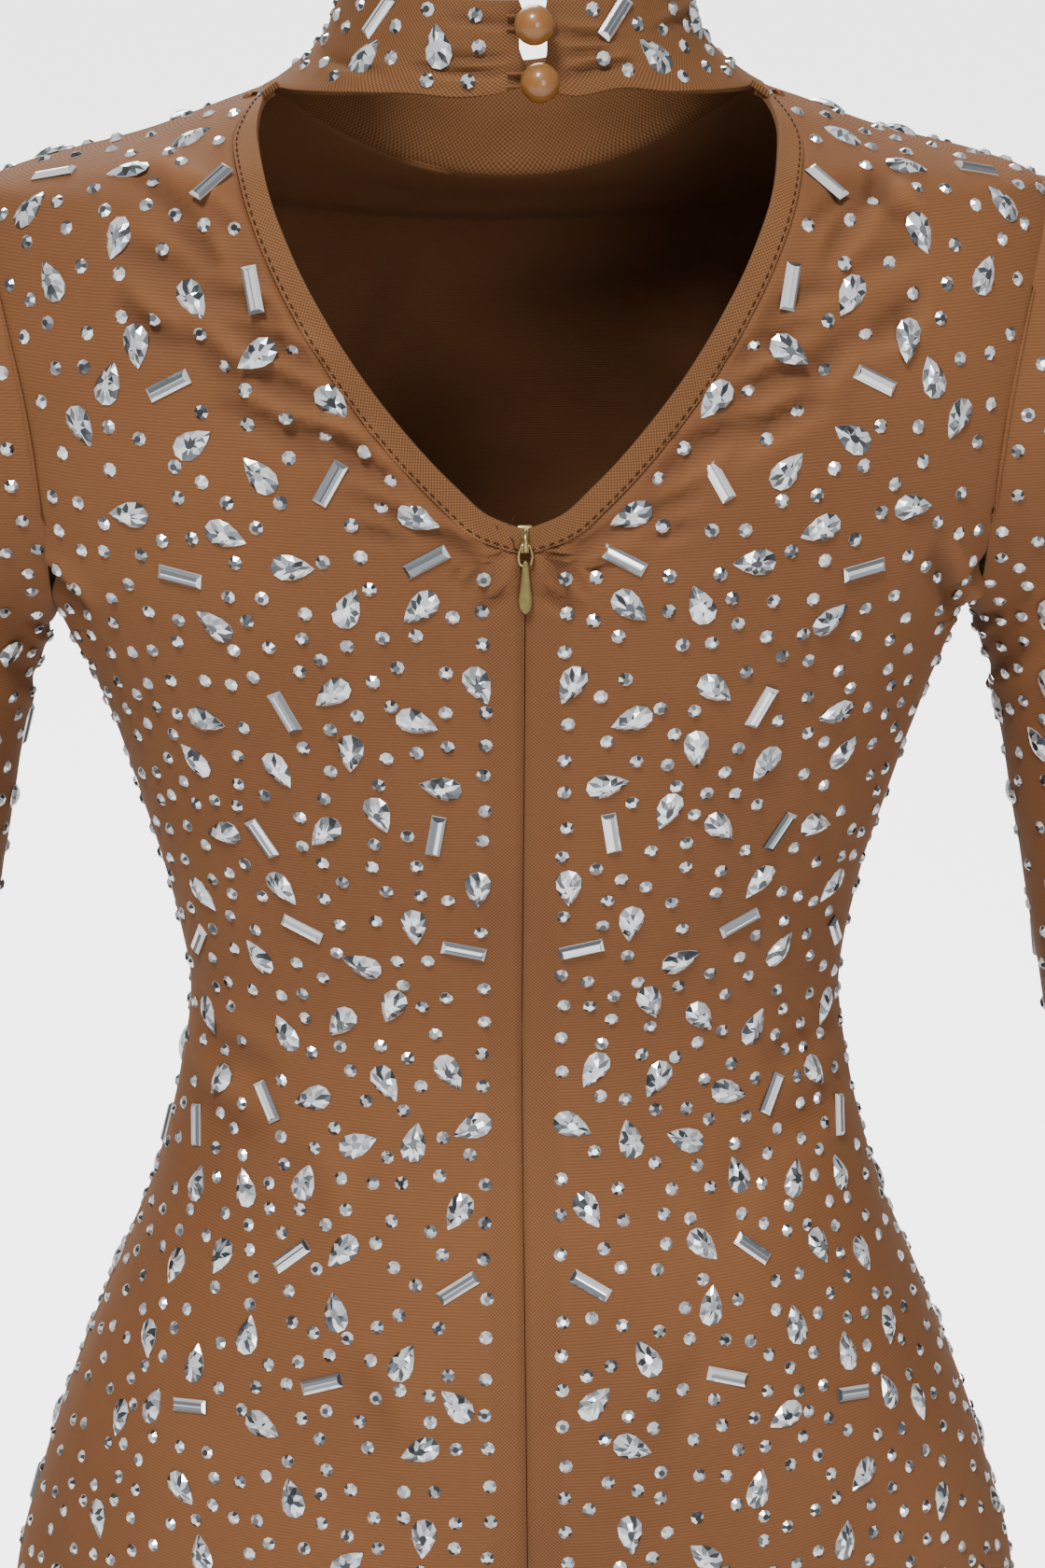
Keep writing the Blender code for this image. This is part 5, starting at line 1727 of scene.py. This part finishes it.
# %% [markdown]
# ### Thread and cord
#
# Thread is twisted, so its bump is a fine wave across the object. An image of twisted yarn would blur on
# threads this thin. The same group serves the cord loops and the zip's tape.
# %% Twisted yarn
twist_group, given, result = new_group(
    "twisted_yarn",
    (
        ("Color", COLOR, (0.1, 0.04, 0.015, 1)),
        ("Shadow Color", COLOR, (0.05, 0.02, 0.008, 1)),
        ("Twists", FLOAT, 900.0),
    ),
    (("Color", COLOR), ("Height", FLOAT)),
)
tree = twist_group
where = add_node(tree, "ShaderNodeTexCoord").outputs["Object"]
wave_inputs = (("Vector", where), ("Scale", given.outputs["Twists"]), ("Distortion", 1.5))
twist = add_node(tree, "ShaderNodeTexWave", wave_inputs, wave_type="BANDS", bands_direction="DIAGONAL")
# Painted shade: the colour darkens towards the shadow colour in the grooves of the twist.
darker = mix_colors(tree, twist.outputs["Fac"], given.outputs["Shadow Color"], given.outputs["Color"])
tree.links.new(darker, result.inputs["Color"])
tree.links.new(twist.outputs["Fac"], result.inputs["Height"])


def yarn_finish(name, color, shadow, twists):
    material, nodes, shader = new_finish(name, Roughness=0.75, Specular_IOR_Level=0.15)
    yarn = place_group(nodes, twist_group, (("Color", color), ("Shadow Color", shadow), ("Twists", twists)))
    link_group(nodes, yarn, shader, (("Color", "Base Color"),), 0.4, 0.0001)
    return material


thread_finish = yarn_finish("stitching_thread", (0.055, 0.021, 0.007, 1), (0.025, 0.010, 0.004, 1), 900.0)
cord_finish = yarn_finish("loop_cord", (0.20, 0.082, 0.029, 1), (0.14, 0.056, 0.020, 1), 500.0)
finish_all((band_stitching, edge_stitching, thread_ends), thread_finish)
finish_all(loops, cord_finish)
tape = frame["nodes"]["zip_tape"]
for material_slot in tape.material_slots:
    material_slot.material = cord_finish
print("thread, cord and tape finished")

# %% [markdown]
# ### Stones
#
# A foiled stone is clear glass over a mirror. Real refraction would be slow and noisy on thousands of
# stones. Here each facet is half a mirror under a clear coat, and its colour is a painted reflection:
# a shade of its own from the facet attribute, which reads the same from arm's length.
# %% Stone finish
stone_finish, nodes, shader = new_finish(
    "clear_stone", Metallic=0.55, Roughness=0.13, Coat_Weight=1.0, Coat_Roughness=0.03
)
facet = add_node(nodes, "ShaderNodeAttribute", attribute_name="facet")
# The ramp turns each facet's number into a painted reflection, from near black to white.
painted_reflection_ramp = add_node(nodes, "ShaderNodeValToRGB", (("Fac", facet.outputs["Fac"]),))
ramp = painted_reflection_ramp.color_ramp
ramp.elements[0].color = (0.030, 0.035, 0.040, 1)
ramp.elements[1].color = (1.0, 1.0, 1.0, 1)
FacetShade = namedtuple("FacetShade", "share color")
for facet_shade in (
    FacetShade(0.20, (0.085, 0.10, 0.115, 1)),
    FacetShade(0.36, (0.36, 0.385, 0.41, 1)),
    FacetShade(0.62, (0.80, 0.83, 0.86, 1)),
):
    ramp.elements.new(facet_shade.share).color = facet_shade.color
nodes.links.new(painted_reflection_ramp.outputs[0], shader.inputs["Base Color"])
finish_all(stone_pieces.values(), stone_finish)
print("stone finish on", len(stone_pieces), "pieces")

# %% [markdown]
# ### Buttons and zip
#
# The buttons are cast and polished, a little cloudy inside. Brass and enamel are rubbed brighter where
# fingers reach, so both share a group that mixes a worn colour in by noise.
# %% Rubbed metal, as a node group
rubbed_group, given, result = new_group(
    "rubbed_metal",
    (
        ("Color", COLOR, (0.4, 0.3, 0.1, 1)),
        ("Worn Color", COLOR, (0.6, 0.5, 0.2, 1)),
        ("Roughness", FLOAT, 0.35),
    ),
    (("Color", COLOR), ("Roughness", FLOAT), ("Height", FLOAT)),
)
tree = rubbed_group
where = add_node(tree, "ShaderNodeTexCoord").outputs["Object"]
rubbed = noise_at(tree, where, 420.0, 4.0)
worn = scaled(tree, rubbed, 2.4, -0.85, clamp=True)
worn_color = mix_colors(tree, worn, given.outputs["Color"], given.outputs["Worn Color"])
tree.links.new(worn_color, result.inputs["Color"])
tree.links.new(scaled(tree, worn, -0.12, given.outputs["Roughness"]), result.inputs["Roughness"])
tree.links.new(rubbed, result.inputs["Height"])


def rubbed_finish(name, color, worn_color, roughness, metallic, coat):
    material, nodes, shader = new_finish(name, Metallic=metallic, Coat_Weight=coat, Coat_Roughness=0.03)
    values = (("Color", color), ("Worn Color", worn_color), ("Roughness", roughness))
    metal = place_group(nodes, rubbed_group, values)
    link_group(nodes, metal, shader, (("Color", "Base Color"), ("Roughness", "Roughness")), 0.12, 0.0001)
    return material


brass_finish = rubbed_finish("zip_brass", (0.36, 0.27, 0.10, 1), (0.62, 0.50, 0.24, 1), 0.36, 1.0, 0.0)
olive_finish = rubbed_finish("pull_olive", (0.17, 0.125, 0.030, 1), (0.23, 0.175, 0.05, 1), 0.42, 0.35, 0.3)
amber_finish = rubbed_finish("button_amber", (0.235, 0.088, 0.012, 1), (0.26, 0.10, 0.016, 1), 0.5, 0.0, 0.7)
finish_all((zip_slider, zip_link), brass_finish)
finish_all((zip_pull,), olive_finish)
finish_all(balls, amber_finish)
print("metal and button finishes ready")

# %% [markdown]
# ## What each piece stands for
#
# Every piece rides on the body of the imported model that carries it, and the solids of the model that it
# stands for are hidden.
# %% Rides and replacements
for piece, nodes_stood_for, slot_name in (
    (back_left, ("back_left",), "caramel_mesh"),
    (back_right, ("back_right",), "caramel_mesh"),
    (front, ("front",), "caramel_mesh"),
    (sleeve_left, ("sleeve_left",), "caramel_mesh"),
    (sleeve_right, ("sleeve_right",), "caramel_mesh"),
    (collar, ("collar",), "caramel_mesh"),
    (band_left, ("binding_left",), "doubled_mesh"),
    (band_right, ("binding_right",), "doubled_mesh"),
    (balls[0], ("button_upper",), "button_amber"),
    (balls[1], ("button_lower",), "button_amber"),
    (loops[0], ("loop_upper",), "doubled_mesh"),
    (loops[1], ("loop_lower",), "doubled_mesh"),
    (zip_slider, ("zip_slider",), "zip_brass"),
    (zip_link, ("zip_link",), "zip_brass"),
    (zip_pull, ("zip_pull",), "pull_olive"),
    (band_stitching, (), "doubled_mesh"),
    (edge_stitching, (), "doubled_mesh"),
    (thread_ends, (), "doubled_mesh"),
):
    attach(piece, "pull" if piece in (zip_link, zip_pull) else "dress")
    if nodes_stood_for:
        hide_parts(*nodes_stood_for)
for piece in stone_pieces.values():
    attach(piece, "dress")

# %% A named tuple for the cut of a sheet of cloth
Cut = namedtuple("Cut", "piece width length area held rests_on with_pieces")

# %% [markdown]
# ## Floor and light
#
# A product picture has an even white ground. One soft light hangs high behind the camera, so that the
# creases cast a little shade. A weak one fills from the other side, and a broad one lights the front.
# The floor and the world glow strongly for the camera alone, which whitens the ground and leaves the
# dress its own shades.
# %% Floor, backdrop and lights
FLOOR_REACH, FLOOR_DROP, FLOOR_GLOW, WORLD_GLOW, WORLD_LIGHT = 60.0, 0.02, 3.0, 3.2, 0.36
WHITE, PALE = (1, 1, 1, 1), (0.92, 0.92, 0.92, 1)


def camera_only(tree, glow, for_all):
    """A strength that is higher for the camera's own rays than for the light on the dress."""
    seen_directly = add_node(tree, "ShaderNodeLightPath").outputs["Is Camera Ray"]
    return scaled(tree, seen_directly, glow, for_all)


floor_mesh = bmesh.new()
bmesh.ops.create_grid(floor_mesh, x_segments=1, y_segments=1, size=FLOOR_REACH)
bmesh.ops.translate(floor_mesh, verts=floor_mesh.verts[:], vec=(0, 0, HEM - FLOOR_DROP))
floor = add_mesh("floor", floor_mesh, smooth=False)
floor_finish, nodes, shader = new_finish("pale_floor", Roughness=0.9, Base_Color=PALE, Emission_Color=WHITE)
nodes.links.new(camera_only(nodes, FLOOR_GLOW, 0.0), shader.inputs["Emission Strength"])
finish_all((floor,), floor_finish)
print("floor", FLOOR_DROP, "below the hem")

# %% Lights and the world
Light = namedtuple("Light", "name place target wide high power")
LIGHTS = (
    Light("key_overhead", (1.2, 3.2, 4.9), (0, 0, -0.3), 1.5, 1.5, 430.0),
    Light("fill_camera", (-1.0, 3.4, 0.4), (0, 0, -0.4), 1.2, 1.6, 40.0),
    Light("front_softbox", (0.6, -3.6, 2.6), (0, 0, -0.5), 2.4, 2.4, 180.0),
)
for light in LIGHTS:
    lamp = bpy.data.lights.new(light.name, "AREA")
    lamp.shape = "RECTANGLE"
    lamp.size, lamp.size_y = light.wide, light.high
    lamp.energy = light.power
    holder = bpy.data.objects.new(light.name, lamp)
    holder.location = light.place
    holder.rotation_euler = (Vector(light.target) - Vector(light.place)).to_track_quat("-Z", "Y").to_euler()
    bpy.context.scene.collection.objects.link(holder)

world = bpy.data.worlds.new("studio_white")
world.use_nodes = True
background = world.node_tree.nodes["Background"]
background.inputs["Color"].default_value = WHITE
brightness = camera_only(world.node_tree, WORLD_GLOW, WORLD_LIGHT)
world.node_tree.links.new(brightness, background.inputs["Strength"])
bpy.context.scene.world = world
print(len(LIGHTS), "lights and a white world")
